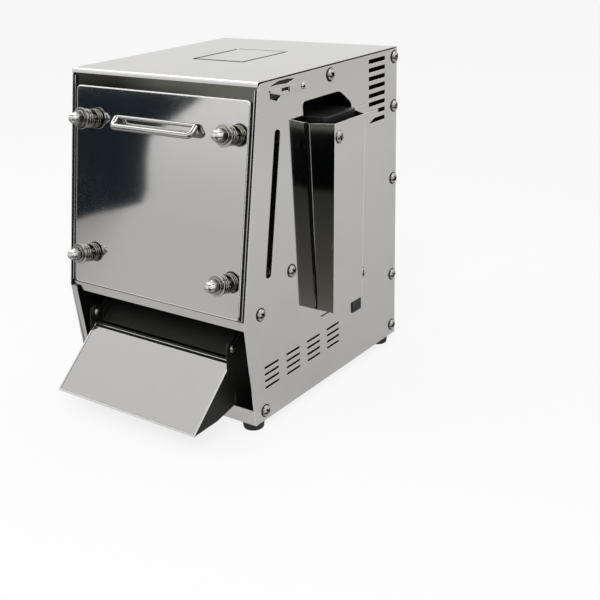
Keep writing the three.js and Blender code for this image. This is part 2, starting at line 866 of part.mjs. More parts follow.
// Rocker switch: a body through the panel and the rocker on its pin
function switchBody() {
  const [y, z] = switchCentre;
  const [halfY, halfZ] = [switchLength / 2 - clearance, switchHeight / 2 - clearance];
  const face = halfWidth + clearance;
  const body = block([face - switchDepth, face + switchRim], [y - halfY, y + halfY], [z - halfZ, z + halfZ]);
  const rim = block([face, face + switchRim], [y - halfY - switchRim, y + halfY + switchRim],
    [z - halfZ - switchRim, z + halfZ + switchRim]);
  const well = block([face - switchDepth * switchWellShare, face + switchRim + overrun],
    [y - halfY + switchWall, y + halfY - switchWall], [z - halfZ + switchWall, z + halfZ - switchWall]);
  const pinHalf = halfZ - switchWall / 2;
  const pinHole = rod('z', rockerPinRadius + clearance, [z - pinHalf, z + pinHalf])
    .translate(face - rockerPivotDepth, y, 0);
  return cut(join(body, rim), well, pinHole);
}

function rocker() {
  const [y, z] = switchCentre;
  const half = switchLength / 2 - switchWall - clearance * 4;
  const halfZ = switchHeight / 2 - switchWall - clearance * 2;
  const rise = rockerPivotDepth + switchRim;
  const outline = rounded([
    [-rockerPinRadius * 2, -half / 3], [rise, -half],
    [rise * rockerDipShare, 0],
    [rise, half], [-rockerPinRadius * 2, half / 3],
  ]);
  const body = slab('z', [-halfZ, halfZ], outline);
  const pinHalf = halfZ + clearance * 2 + switchWall / 2 - clearance;
  const whole = join(body, rod('z', rockerPinRadius, [-pinHalf, pinHalf])).rotateZ(-rockerThrow / 2);
  return whole.translate(halfWidth + clearance - rockerPivotDepth, y, z);
}

// Front cover, the plate behind it and the frame that they rest on
function faceOutline(halfX, top, bottom, radius = 0) {
  return rectangle([-halfX, halfX], [-bottom, -top], radius);
}

function studHoles(radius) {
  return studPlaces.map(([x, , z]) => circle(x, z, radius));
}

function frontCover() {
  return slab('y', [0, coverThickness], faceOutline(coverHalfWidth, coverTop, coverBottom, coverRadius),
    studHoles(studRadius + clearance));
}

function frontFrame() {
  const plate = slab('y', [frameStart, frameEnd], faceOutline(shellHalf, frameTop, frameBottom),
    [...studHoles(studRadius + clearance), circle(0, platenCentre, frameWindowRadius, fineSides)]);
  const lip = slab('x', [-shellHalf, shellHalf], rounded([
    [frameStart, clearance - frameBottom], [frameStart, -frameBottom],
    [frameStart + frameLipBack, -frameBottom - frameLipDrop],
    [frameEnd + frameLipBack, -frameBottom - frameLipDrop],
    [frameEnd, -frameBottom], [frameEnd, clearance - frameBottom],
  ]));
  const hole = circle(...intoFace(...kneeScrew), screwRadius + clearance, holeSides);
  const flanges = bothSides(shellHalf, sheet).map((xs) => slab('x', xs,
    rectangle([frameStart, frameStart + frameFlange], [-frameBottom + sheet, -frameFlangeTop]), [hole]));
  return join(plate, lip, ...flanges);
}

// Depth behind the face and height along it of a side view place
function intoFace(y, z) {
  return [
    y * Math.cos(lean) - (z - casingHeight) * Math.sin(lean),
    y * Math.sin(lean) + (z - casingHeight) * Math.cos(lean),
  ];
}

// Handle: a bar whose legs rise to a thinner bar along the cover
function handle() {
  const out = -handleStandoff;
  const back = -clearance - handleBackRadius;
  const legLength = Math.hypot(back - out, handleRise);
  const legEnd = -clearance - handleRadius * handleRise / legLength;
  const legShare = (legEnd - out) / (back - out);
  const bendShare = handleBend / legLength;
  const place = (x, share) => new THREE.Vector3(
    x, out + (back - out) * share, handleRise * share - handleLevel,
  );
  const points = [
    place(-handleHalfLength, legShare), place(-handleHalfLength, bendShare),
    place(handleBend - handleHalfLength, 0), place(handleHalfLength - handleBend, 0),
    place(handleHalfLength, bendShare), place(handleHalfLength, legShare),
  ];
  const path = new THREE.CurvePath();
  path.add(new THREE.LineCurve3(points[0], points[1]));
  path.add(new THREE.QuadraticBezierCurve3(points[1], place(-handleHalfLength, 0), points[2]));
  path.add(new THREE.LineCurve3(points[2], points[3]));
  path.add(new THREE.QuadraticBezierCurve3(points[3], place(handleHalfLength, 0), points[4]));
  path.add(new THREE.LineCurve3(points[4], points[5]));
  const bar = sweep(stations(path, [1, 5, 1, 5, 1]), handleRadius, smallSides);
  const backBar = rod('x', handleBackRadius, [-handleHalfLength, handleHalfLength]);
  backBar.translate(0, back, handleRise - handleLevel);
  return join(bar, backBar);
}

// Points and directions along a path, with a count of steps for each of its curves
function stations(path, steps) {
  const list = [];
  path.curves.forEach((curve, i) => {
    for (let step = list.length === 0 ? 0 : 1; step <= steps[i]; step += 1) {
      list.push({ point: curve.getPoint(step / steps[i]), along: curve.getTangent(step / steps[i]) });
    }
  });
  return list;
}

// One closed tube of several sides through stations; the cross direction is carried along
function sweep(list, radius, sides) {
  const points = [];
  const triangles = [];
  let across = Math.abs(list[0].along.z) < 0.9 ? new THREE.Vector3(0, 0, 1) : new THREE.Vector3(1, 0, 0);
  list.forEach(({ point, along }, row) => {
    const side = new THREE.Vector3().crossVectors(along, across).normalize();
    across = new THREE.Vector3().crossVectors(side, along).normalize();
    for (let i = 0; i < sides; i += 1) {
      const angle = 2 * Math.PI * i / sides;
      const place = point.clone().addScaledVector(across, radius * Math.cos(angle));
      points.push(place.addScaledVector(side, radius * Math.sin(angle)));
      if (row > 0) {
        const [a, b] = [row * sides + i, row * sides + (i + 1) % sides];
        triangles.push(a - sides, a, b, a - sides, b, b - sides);
      }
    }
  });
  const last = (list.length - 1) * sides;
  for (let i = 1; i < sides - 1; i += 1) {
    triangles.push(0, i, i + 1, last, last + i + 1, last + i);
  }
  const geometry = new THREE.BufferGeometry().setFromPoints(points);
  geometry.setIndex(triangles);
  return toGeometry(toSolid(geometry));
}

// Guide columns; each one's front end is the stud that carries a spring and a nut
function stackTop() {
  return springLength + clearance * 2;
}

function guideColumn() {
  const nutLength = washerThickness + smallWasherThickness + domeNutHexHeight + domeNutDomeHeight;
  const tip = -(stackTop() + nutLength - domeNutWall);
  return turned('y', [
    [0, tip], [studRadius, tip], [studRadius, frameEnd + clearance], [columnRadius, frameEnd + clearance],
    [columnRadius, crossPlateStart - clearance], [columnEndRadius, crossPlateStart - clearance],
    [columnEndRadius, crossPlateEnd + columnTail], [0, crossPlateEnd + columnTail],
  ]);
}

// Dome nut with its broad and narrow washers forged on as one flange
function domeNut() {
  const start = stackTop();
  const narrow = start + washerThickness;
  const hexStart = narrow + smallWasherThickness;
  const hexTop = hexStart + domeNutHexHeight;
  const hex = slab('y', [-hexTop, -narrow], circle(0, 0, domeNutCornerRadius, 6));
  const domeShares = [[1, 0.25], [0.86, 0.6], [0.5, 0.9], [0, 1]];
  const shell = turned('y', [
    [0, -start], [washerRadius, -start], [washerRadius, -narrow], [smallWasherRadius, -narrow],
    [smallWasherRadius, -hexStart], [domeNutDomeRadius, -hexStart], [domeNutDomeRadius, -hexTop],
    ...domeShares.map(([r, h]) => [domeNutDomeRadius * r, -hexTop - domeNutDomeHeight * h]),
  ]);
  const depth = hexTop + domeNutDomeHeight - domeNutWall + clearance;
  return cut(join(hex, shell), rod('y', studRadius + clearance, [-depth, -start + overrun]));
}

// Coil spring along the stud, one unbroken tube whose ends are closed against its neighbours
const springSteps = 8;
const springSides = 5;

function springStations() {
  const span = springLength - 2 * springWireRadius - 2 * clearance;
  const count = springTurns * springSteps;
  const rise = span / (2 * Math.PI * springTurns);
  const list = [];
  for (let i = 0; i <= count; i += 1) {
    const angle = 2 * Math.PI * i / springSteps;
    const [x, z] = [springMeanRadius * Math.cos(angle), springMeanRadius * Math.sin(angle)];
    list.push({
      point: new THREE.Vector3(x, -clearance * 2 - springWireRadius - rise * angle, z),
      along: new THREE.Vector3(-z, -rise, x).normalize(),
    });
  }
  const stub = (end, sign) => ({
    point: end.point.clone().addScaledVector(end.along, sign * 2 * springWireRadius),
    along: end.along,
  });
  return [stub(list[0], -1), ...list, stub(list.at(-1), 1)];
}

// Least gap between turns of the spring, on points of its middle line
function springGap() {
  const points = springStations().map(({ point }) => point);
  let least = Infinity;
  points.forEach((a, i) => {
    points.slice(i + springSteps / 2).forEach((b) => {
      least = Math.min(least, a.distanceTo(b) - 2 * springWireRadius);
    });
  });
  return least;
}

// Press plates
function disc(radius, start, thickness) {
  return slab('y', [start, start + thickness], circle(0, platenCentre, radius, fineSides));
}

// Carrier with four guide bosses that slide on the columns
function carrierPlate() {
  const plate = slab('y', [carrierStart, carrierEnd],
    rectangle([-carrierHalfWidth, carrierHalfWidth], [carrierBottom, carrierTop], carrierRadius));
  const rear = carrierEnd + bushRear;
  const span = [rear - bushLength, rear];
  const bosses = studPlaces.map((place) => rod('y', bushRadius, span).translate(...place));
  const bores = studPlaces.map((place) => rod('y', columnRadius + clearance,
    [rear - bushLength - overrun, rear + overrun]).translate(...place));
  return cut(join(plate, ...bosses), ...bores);
}

const cheekBoltX = cheekInset + cheekThickness + cheekFoot / 2;
const cheekBoltPlaces = [-cheekBoltX, cheekBoltX].flatMap(
  (x) => [-cheekBoltSpread, cheekBoltSpread].map((z) => [x, 0, platenCentre + z]),
);

function rearCrossPlate() {
  const holes = [
    ...studHoles(columnEndRadius + clearance),
    ...cheekBoltPlaces.map(([x, , z]) => circle(x, z, cheekBoltRadius + clearance, holeSides)),
    rectangle([-crossWindowHalfWidth, crossWindowHalfWidth],
      [platenCentre - crossWindowHalfHeight, platenCentre + crossWindowHalfHeight], carrierRadius),
  ];
  const plate = slab('y', [crossPlateStart, crossPlateEnd],
    rectangle([-shellHalf, shellHalf], [carrierBottom, carrierTop]), holes);
  const hole = circle(...intoFace(...crossScrew), screwRadius + clearance, holeSides);
  const flange = rectangle([crossPlateStart - crossFlange, crossPlateStart + overrun],
    [carrierBottom, carrierTop]);
  const flanges = bothSides(shellHalf, crossFlangeThickness).map((xs) => slab('x', xs, flange, [hole]));
  return join(plate, ...flanges);
}

// Cam cheeks, bearings, shaft, cam and gears
const cheekStart = crossPlateEnd + clearance;

function cheek(side) {
  const span = (a, b) => (side < 0 ? [-b, -a] : [a, b]);
  const zs = [platenCentre - cheekHeight / 2, platenCentre + cheekHeight / 2];
  const plate = slab('x', span(cheekInset, cheekInset + cheekThickness),
    rectangle([cheekStart, cheekStart + cheekLength], zs),
    [circle(camAxisDepth, platenCentre, bearingRadius + clearance, roundSides)]);
  const footBolts = cheekBoltPlaces.filter(([x]) => x * side > 0);
  const foot = slab('y', [cheekStart, cheekStart + cheekThickness],
    rectangle(span(cheekInset + cheekThickness / 2, cheekInset + cheekThickness + cheekFoot), zs),
    footBolts.map(([x, , z]) => circle(x, z, cheekBoltRadius + clearance, holeSides)));
  return join(plate, foot);
}

function bearing(side) {
  const middle = side * (cheekInset + cheekThickness / 2);
  const span = [middle - bearingWidth / 2, middle + bearingWidth / 2];
  return ring('x', camshaftRadius + clearance, bearingRadius, span, roundSides)
    .translate(0, camAxisDepth, platenCentre);
}

function camshaft() {
  const end = cheekInset + cheekThickness + camshaftEnd;
  return rod('x', camshaftRadius, [-end, end], 24).translate(0, camAxisDepth, platenCentre);
}

// Outline of half the heart-shaped groove, as wide as the roller with its clearance
function grooveHalf(side, width) {
  const steps = 14;
  const inner = [];
  const outer = [];
  for (let i = 0; i <= steps; i += 1) {
    const turn = Math.PI * i / steps;
    const radius = camBaseRadius + stroke * turn / Math.PI;
    const angle = Math.PI + side * turn;
    const radial = new THREE.Vector2(Math.cos(angle), Math.sin(angle));
    const cross = new THREE.Vector2(-radial.y, radial.x).multiplyScalar(side);
    const along = radial.clone().multiplyScalar(stroke / Math.PI).addScaledVector(cross, radius).normalize();
    const outward = new THREE.Vector2(along.y, -along.x).multiplyScalar(side);
    const centre = radial.multiplyScalar(radius);
    outer.push(centre.clone().addScaledVector(outward, width).toArray());
    inner.unshift(centre.clone().addScaledVector(outward, -width).toArray());
  }
  return rounded([...outer, ...inner]);
}

function camDisc() {
  const back = -camThickness / 2;
  const floor = camThickness / 2 - camGrooveDepth;
  const reach = camThickness / 2 + overrun;
  const width = rollerRadius + rollerClearance;
  const body = slab('x', [back, camThickness / 2], circle(0, 0, camRadius, fineSides));
  const hub = rod('x', camHubRadius, [back - camHubLength, 0], 24);
  const bore = rod('x', camshaftRadius + clearance, [back - camHubLength - overrun, reach], 24);
  const pockets = [-camBaseRadius, camBaseRadius + stroke].map(
    (y) => slab('x', [floor, reach], circle(y, 0, width, roundSides)),
  );
  const grooves = [-1, 1].map((side) => slab('x', [floor, reach], grooveHalf(side, width)));
  return cut(join(body, hub), bore, ...pockets, ...grooves).translate(0, camAxisDepth, platenCentre);
}

// Spur gear outline; one tooth or one gap points along the start angle
function gearOutline(teeth, startAngle) {
  const pitchRadius = gearModule * teeth / 2;
  const tip = pitchRadius + gearModule * addendumShare;
  const root = pitchRadius - gearModule * dedendumShare;
  const step = 2 * Math.PI / teeth;
  const corners = [
    [root, -toothRootShare], [tip, -toothTipShare], [tip, toothTipShare], [root, toothRootShare],
  ];
  const points = [];
  for (let i = 0; i < teeth; i += 1) {
    corners.forEach(([radius, share]) => {
      const angle = startAngle + step * (i + share);
      points.push([radius * Math.cos(angle), radius * Math.sin(angle)]);
    });
  }
  return rounded(points);
}

const pinionDirection = Math.atan2(pinionLevel - platenCentre, pinionDepth - camAxisDepth);

function driveGear() {
  const bore = circle(0, 0, camshaftRadius + clearance, 24);
  return slab('x', [gearStart, gearStart + gearWidth], gearOutline(gearTeeth, pinionDirection), [bore])
    .translate(0, camAxisDepth, platenCentre);
}

function pinionShaft() {
  const halfStep = Math.PI / pinionTeeth;
  const outline = gearOutline(pinionTeeth, pinionDirection + Math.PI + halfStep);
  const teeth = slab('x', [gearStart, gearStart + gearWidth], outline);
  const shaft = rod('x', pinionShaftRadius, [gearStart - camshaftEnd, motorSide + shaftGrip]);
  return join(teeth, shaft).translate(0, pinionDepth, pinionLevel);
}

const rollerDepth = camAxisDepth - camBaseRadius;
const armStart = camThickness / 2 + clearance * 4;

function followerArm() {
  const base = carrierEnd + clearance;
  const span = [platenCentre - armHeight / 2, platenCentre + armHeight / 2];
  const foot = block([-armFootHalfWidth, armFootHalfWidth + armThickness],
    [base, base + armFootThickness], span);
  const arm = block([armStart, armStart + armThickness], [base, rollerDepth + rollerRadius], span);
  const tip = camThickness / 2 - camGrooveDepth + clearance * 2;
  const pin = rod('x', rollerPinRadius, [tip, armStart + clearance]).translate(0, rollerDepth, platenCentre);
  return join(foot, arm, pin);
}

function camRoller() {
  const floor = camThickness / 2 - camGrooveDepth;
  return ring('x', rollerPinRadius + clearance, rollerRadius, [floor + clearance, armStart - clearance], 24)
    .translate(0, rollerDepth, platenCentre);
}

// Gear motor, upright beside the press, and its stand
const [pinionY, pinionZ] = fromFace(pinionDepth, -pinionLevel);
const gearheadBottom = pinionZ - gearheadSkirt;
const motorRear = motorFront + motorWidth;
const motorBottom = motorTop - motorHeight;

function motorBody() {
  const body = slab('z', [motorBottom + clearance, motorTop], rectangle(
    [motorSide, halfWidth + motorProtrusion], [motorFront, motorRear], motorWidth * motorCornerShare));
  const grooves = [];
  const pitch = motorHeight * motorGrooveShare;
  for (let i = 2; i < 7; i += 2) {
    const z = motorBottom + i * pitch;
    const ridge = motorWidth * motorRidgeShare;
    grooves.push(cut(
      block([0, casingWidth], [0, casingDepth], [z, z + pitch / 3]),
      block([motorSide + ridge, halfWidth + motorProtrusion - ridge], [motorFront + ridge, motorRear - ridge],
        [z - overrun, z + pitch / 3 + overrun]),
    ));
  }
  return cut(body, ...grooves);
}

function gearhead() {
  const body = slab('x', [motorSide, motorSide + gearheadWidth],
    rectangle([motorFront, motorRear], [gearheadBottom, motorBottom], motorWidth * motorCornerShare));
  const boss = rod('x', gearheadBossRadius, [motorSide - gearheadBoss, motorSide + overrun], 24)
    .translate(0, pinionY, pinionZ);
  const bore = rod('x', pinionShaftRadius + clearance,
    [motorSide - gearheadBoss - overrun, motorSide + shaftGrip + clearance]).translate(0, pinionY, pinionZ);
  return cut(join(body, boss), bore);
}

function motorStand() {
  const xs = [motorSide, motorSide + gearheadWidth];
  const top = gearheadBottom - gearheadBoss / 2;
  const low = floorThickness + clearance;
  const plate = block(xs, [motorFront, motorRear], [top - standThickness, top]);
  const [front, rear] = [motorFront + standThickness, motorRear - standThickness];
  const legs = [[motorFront, front], [rear, motorRear]].map((ys) => block(xs, ys, [low, top]));
  const soles = [[motorFront - standFoot, front], [rear, motorRear + standFoot]]
    .map((ys) => block(xs, ys, [low, low + standThickness]));
  return join(plate, ...legs, ...soles);
}

function pressStand() {
  const [foremost] = fromFace(crossPlateStart, -carrierBottom);
  const [, lowest] = fromFace(crossPlateEnd, -carrierBottom);
  const front = foremost + pressStandSetback;
  const rear = front + standThickness;
  const top = lowest - clearance;
  const low = floorThickness + clearance;
  const xs = [-pressStandHalfWidth, pressStandHalfWidth];
  const wall = block(xs, [front, rear], [low, top]);
  const cap = block(xs, [front - pressStandFlange, rear], [top - standThickness, top]);
  const sole = block(xs, [front, rear + standFoot], [low, low + standThickness]);
  return join(wall, cap, sole);
}

// Deflector under the platens
function deflector() {
  const bracketInside = chuteHalfWidth - sheet - clearance - chuteBracketThickness;
  const tabHalf = bracketInside - clearance;
  const [endY, endZ] = [chutePivotY + chuteTopReach * 2, chutePivotZ - chuteTopDrop + chuteTopReach * 1.5];
  const floor = slab('x', [-deflectorHalfWidth, deflectorHalfWidth], rounded([
    [endY, endZ - sheet], [deflectorTopY, deflectorTopZ - sheet],
    [deflectorTopY, deflectorTopZ], [endY, endZ],
  ]));
  const midY = (endY + deflectorTopY * 3) / 4;
  const midZ = (endZ + deflectorTopZ * 3) / 4;
  const tabs = slab('x', [-tabHalf, tabHalf], rounded([
    [midY, midZ - sheet], [deflectorTopY, deflectorTopZ - sheet],
    [deflectorTopY, deflectorTopZ], [midY, midZ],
  ]));
  const walls = bothSides(deflectorHalfWidth, sheet).map((xs) => slab('x', xs, rounded([
    [endY, endZ - sheet], [deflectorTopY, deflectorTopZ - sheet],
    [deflectorTopY, deflectorTopZ + deflectorWall * deflectorWallShare], [endY, endZ + deflectorWall],
  ])));
  return join(floor, tabs, ...walls);
}

// Discharge chute: a sloping slide between two cheeks that hang on the pivots
function chuteEar(radius, [y, z], [fromAngle, toAngle]) {
  const points = [];
  const steps = 8;
  for (let i = 0; i <= steps; i += 1) {
    const angle = fromAngle + (toAngle - fromAngle) * i / steps;
    points.push([y + radius * Math.cos(angle), z + radius * Math.sin(angle)]);
  }
  return points;
}

function dischargeChute() {
  const [y, z] = chutePivot;
  const tip = [y - chuteTipReach, chuteTipLevel];
  const top = [y - chuteTopReach, z - chuteTopDrop];
  const slide = slab('x', [-chuteHalfWidth, chuteHalfWidth], rounded([
    [tip[0], tip[1]], [tip[0] + sheet, tip[1] - sheet], [top[0] + sheet, top[1] - sheet], [top[0], top[1]],
  ]));
  const curl = slab('x', [-chuteHalfWidth, chuteHalfWidth], rounded([
    [top[0], top[1] - sheet], [top[0] + sheet, top[1] - sheet],
    [top[0] + sheet, top[1] + sheet * 2], [top[0], top[1] + sheet * 2],
  ]));
  const slope = (tip[1] - top[1]) / (tip[0] - top[0]);
  const neck = y - chuteEarRadius * chuteNeckShare;
  const cheekLine = rounded([
    tip,
    [y - chuteSkirtRun, chuteSkirtFrontLevel],
    [y - chuteSkirtRear, chuteSkirtRearLevel],
    [y + chuteEarRadius, z - chuteTopDrop],
    ...chuteEar(chuteEarRadius, chutePivot, [0, Math.PI]),
    [neck, top[1] + slope * (neck - top[0])],
  ]);
  const cheeks = bothSides(chuteHalfWidth, sheet)
    .map((xs) => slab('x', xs, cheekLine, [circle(y, z, pivotRadius + clearance)]));
  return join(slide, curl, ...cheeks);
}

function chuteBracket(side) {
  const [y, z] = chutePivot;
  const outer = chuteHalfWidth - sheet - clearance;
  const inner = outer - chuteBracketThickness;
  const span = (a, b) => (side < 0 ? [-b, -a] : [a, b]);
  const low = floorThickness + clearance;
  const front = baseFrontY + floorThickness + clearance;
  const rear = y + chuteBracketReach;
  const outline = rounded([
    [front, low], [rear, low], [rear, z + chuteBracketRise], [rear - chuteBracketFoot, z + chuteBracketRise],
    [y + chuteEarRadius, z + chuteEarRadius * bracketNeckShare],
    ...chuteEar(chuteEarRadius * bracketEarShare, chutePivot, [Math.PI / 4, Math.PI * 1.3]),
    [front, z - chuteEarRadius * bracketChinShare],
  ]);
  const plate = slab('x', span(inner, outer), outline, [circle(y, z, pivotRadius + clearance)]);
  const sole = block(span(inner - chuteBracketFoot, outer), [front, rear],
    [low, low + chuteBracketThickness]);
  return join(plate, sole);
}

function chutePivotPin(side) {
  const outer = chuteHalfWidth + clearance;
  const inner = chuteHalfWidth - sheet - clearance - chuteBracketThickness - clearance;
  const domeShares = [[1, 0.3], [0.8, 0.75], [0.45, 0.95], [0, 1]];
  const outside = domeShares.map(([r, h]) => [pivotHeadRadius * r, outer + pivotHeadHeight * h]);
  const inside = domeShares.toReversed().map(([r, h]) => [pivotHeadRadius * r, inner - pivotHeadHeight * h]);
  const pin = turned('x', [
    ...inside,
    [pivotHeadRadius, inner], [pivotRadius, inner], [pivotRadius, outer], [pivotHeadRadius, outer],
    ...outside,
  ], holeSides);
  return (side < 0 ? pin.rotateZ(Math.PI) : pin).translate(0, ...chutePivot);
}

// Inlet on the rear panel and the controller on the floor
function powerInlet() {
  const face = casingDepth + clearance;
  const [halfX, halfZ] = [inletWidth / 2, inletHeight / 2];
  const body = block([-halfX, halfX], [face - inletDepth, face + inletRimThickness], [-halfZ, halfZ]);
  const rim = block([-halfX - inletRim, halfX + inletRim], [face, face + inletRimThickness],
    [-halfZ - inletRim, halfZ + inletRim]);
  const well = block([inletWall - halfX, halfX - inletWall],
    [face - inletDepth + inletWall, face + inletRimThickness + overrun],
    [inletWall - halfZ, halfZ - inletWall]);
  const pin = rod('y', inletPinRadius, [face - inletDepth + inletWall / 2, face - inletWall], holeSides);
  const shell = cut(join(body, rim), well);
  const pins = [-inletPinSpread, 0, inletPinSpread].map((x) => pin.clone().translate(x, 0, 0));
  return join(shell, ...pins).translate(inletX, 0, inletZ);
}

function controller() {
  const low = floorThickness + clearance;
  const outline = rectangle([-controllerLeft, controllerWidth - controllerLeft],
    [controllerFront, controllerFront + controllerDepth], inletRim);
  return slab('z', [low, low + controllerHeight], outline);
}

// Whole press: the casing's frame, and inside it the frame that leans back with the front
const whole = new THREE.Group();
const casing = new THREE.Group();
const press = new THREE.Group();
const rightReach = halfWidth + cowlDepthHigh;
const leftReach = halfWidth;
const frontReach = -(chutePivotY - chuteTipReach);
const rearReach = casingDepth + clearance + inletRimThickness;
casing.position.set((leftReach - rightReach) / 2, (frontReach - rearReach) / 2, footHeight);
press.position.set(0, 0, casingHeight);
press.rotation.x = -lean;
casing.add(press);
whole.add(casing);

add(casing, 'right_panel', rightPanel(), polishedSteel());
add(casing, 'left_panel', leftPanel(), polishedSteel());
add(casing, 'top_panel', topPanel(), polishedSteel());
add(casing, 'rear_panel', rearPanel(), polishedSteel());
add(casing, 'base_pan', basePan(), polishedSteel());
addEach(casing, 'foot', foot(), blackRubber(), feet);
add(casing, 'motor_cowl', cowl(), polishedSteel());
add(casing, 'catch_strap', catchStrap(), polishedSteel());
add(casing, 'switch_body', switchBody(), blackPlastic());
add(casing, 'switch_rocker', rocker(), blackPlastic());
add(casing, 'hatch_lid', hatchLid(), polishedSteel());
add(casing, 'feed_chute', feedChute(), plainSteel());
add(casing, 'motor', motorBody(), motorPaint());
add(casing, 'gearhead', gearhead(), castIron());
add(casing, 'motor_stand', motorStand(), plainSteel());
add(casing, 'press_stand', pressStand(), plainSteel());
add(casing, 'deflector', deflector(), polishedSteel());
add(casing, 'discharge_chute', dischargeChute(), polishedSteel());
add(casing, 'left_chute_bracket', chuteBracket(-1), plainSteel());
add(casing, 'right_chute_bracket', chuteBracket(1), plainSteel());
add(casing, 'left_chute_pivot', chutePivotPin(-1), brightScrew());
add(casing, 'right_chute_pivot', chutePivotPin(1), brightScrew());
add(casing, 'power_inlet', powerInlet(), blackPlastic());
add(casing, 'temperature_controller', controller(), blackPlastic());

add(press, 'front_cover', frontCover(), polishedSteel());
add(press, 'front_frame', frontFrame(), polishedSteel());
add(press, 'handle', handle(), polishedSteel());
addEach(press, 'column', guideColumn(), brightScrew(), studs);
addEach(press, 'spring', sweep(springStations(), springWireRadius, springSides), plainSteel(), studs);
addEach(press, 'dome_nut', domeNut(), brightScrew(), studs);
add(press, 'front_insulation', disc(insulationRadius, frameStart, insulationThickness), mica());
add(press, 'front_heater', disc(heaterRadius, frontHeaterStart, heaterThickness), darkSteel());
add(press, 'front_platen', disc(platenRadius, frontPlatenStart, platenThickness), aluminium());
add(press, 'ram_platen', disc(platenRadius, ramFace, platenThickness), aluminium());
add(press, 'ram_heater', disc(heaterRadius, ramHeaterStart, heaterThickness), darkSteel());
add(press, 'ram_insulation', disc(insulationRadius, ramInsulationStart, insulationThickness), mica());
add(press, 'carrier_plate', carrierPlate(), plainSteel());
add(press, 'rear_cross_plate', rearCrossPlate(), plainSteel());
add(press, 'left_cam_cheek', cheek(-1), plainSteel());
add(press, 'right_cam_cheek', cheek(1), plainSteel());
add(press, 'left_camshaft_bearing', bearing(-1), brightScrew());
add(press, 'right_camshaft_bearing', bearing(1), brightScrew());
add(press, 'camshaft', camshaft(), plainSteel());
add(press, 'cam_disc', camDisc(), castIron());
add(press, 'drive_gear', driveGear(), plainSteel());
add(press, 'follower_arm', followerArm(), plainSteel());
add(press, 'cam_roller', camRoller(), brightScrew());
add(press, 'pinion_shaft', pinionShaft(), plainSteel());

console.log(`least gap between the spring's turns: ${springGap().toFixed(2)} mm`);

export default whole;
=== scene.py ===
"""Upright flatbread press in mirror-polished steel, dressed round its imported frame. Lengths are in metres."""
import json
import math

import bmesh
import bpy
from mathutils import Matrix, Vector

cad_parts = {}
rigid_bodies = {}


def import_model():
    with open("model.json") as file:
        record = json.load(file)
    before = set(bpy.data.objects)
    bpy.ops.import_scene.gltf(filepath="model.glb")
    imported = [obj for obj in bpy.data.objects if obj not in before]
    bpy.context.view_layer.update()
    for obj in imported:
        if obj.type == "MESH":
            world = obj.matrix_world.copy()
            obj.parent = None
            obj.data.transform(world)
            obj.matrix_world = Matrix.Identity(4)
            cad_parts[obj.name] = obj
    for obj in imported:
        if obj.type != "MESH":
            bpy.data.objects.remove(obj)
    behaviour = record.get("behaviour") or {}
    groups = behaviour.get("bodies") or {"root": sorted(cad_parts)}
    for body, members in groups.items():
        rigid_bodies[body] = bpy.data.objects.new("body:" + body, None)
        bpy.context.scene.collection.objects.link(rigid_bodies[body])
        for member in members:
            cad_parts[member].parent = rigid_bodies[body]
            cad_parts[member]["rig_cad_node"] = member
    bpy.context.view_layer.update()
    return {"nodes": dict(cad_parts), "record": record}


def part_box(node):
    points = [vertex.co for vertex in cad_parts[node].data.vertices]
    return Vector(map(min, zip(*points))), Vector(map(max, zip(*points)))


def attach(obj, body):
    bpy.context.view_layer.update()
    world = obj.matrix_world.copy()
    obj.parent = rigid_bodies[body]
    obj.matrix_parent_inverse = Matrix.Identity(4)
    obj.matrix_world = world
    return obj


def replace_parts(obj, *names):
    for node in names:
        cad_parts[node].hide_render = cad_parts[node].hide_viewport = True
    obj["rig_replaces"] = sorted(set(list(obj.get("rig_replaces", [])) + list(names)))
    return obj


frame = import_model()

MM = 0.001
TAU = 2 * math.pi

# Main sizes of the casing and of its leaning face
LEAN = math.radians(9.97)
CASING_HEIGHT = 378 * MM
CASING_DEPTH = 280.6 * MM
KNEE_HEIGHT = 124.5 * MM
KNEE_SETBACK = 11.4 * MM
SHEET = 1.2 * MM
CLEARANCE = 0.3 * MM

# How faces of sheet are told apart: a cut edge is narrow, a broad face is wider than any bend, and skin lies
# near the casing's outside; a face that looks forwards is skin as far in as the flanges reach
NARROW = SHEET * 1.1
BROAD = SHEET * 1.8
SKIN_DEPTH = SHEET * 0.95
FLANGE_DEPTH = 60 * MM
TOUCHING = 0.1 * MM

# Casing's own frame, read from its panels
left_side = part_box("left_panel")[0]
right_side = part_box("right_panel")[1]
CENTRE_X = (left_side.x + right_side.x) / 2
HALF_WIDTH = (right_side.x - left_side.x) / 2
FRONT_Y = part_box("rear_panel")[1].y - CASING_DEPTH
BASE_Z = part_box("top_panel")[1].z - CASING_HEIGHT
INNER_HALF = HALF_WIDTH - SHEET - CLEARANCE
INNER_DEPTH = CASING_DEPTH - SHEET - CLEARANCE

# Casing screws, as shares of the casing's depth and height
SCREW_SHARES = [
    (0.472, 0.969), (0.977, 0.97), (0.977, 0.814), (0.973, 0.572), (0.97, 0.228), (0.97, 0.036),
    (-0.051, 0.345), (-0.048, 0.031), (0.165, 0.43),
]
# Cowl screws and the strap's rivet: the node whose right side it sits on, how far sunk, its y and its z
COWL_SCREWS = [
    ("catch_strap", 0, 192.6 * MM, 113.7 * MM), ("catch_strap", 0, 192.6 * MM, 306.5 * MM),
    ("motor_cowl", 0.9 * MM, 103 * MM, 306 * MM),
]
STRAP_RIVET = ("catch_strap", 0, 77 * MM, 363 * MM)
SCREW_HEAD_RADIUS = 7 * MM
SCREW_HEAD_HEIGHT = 3.7 * MM
SCREW_RIM_SHARE = 0.22
SCREW_RECESS_LENGTH = 10.4 * MM
SCREW_RECESS_WIDTH = 3.1 * MM
SCREW_RECESS_DEPTH = 2.5 * MM
SCREW_RECESS_TAPERS = (0.45, 0.7)
# Thin black ring under each screw head, a painted shadow outline
SCREW_SHADOW_RING_RADIUS = 7.8 * MM
SCREW_SHADOW_RING_HEIGHT = 0.5 * MM
SCREW_SIDES = 40

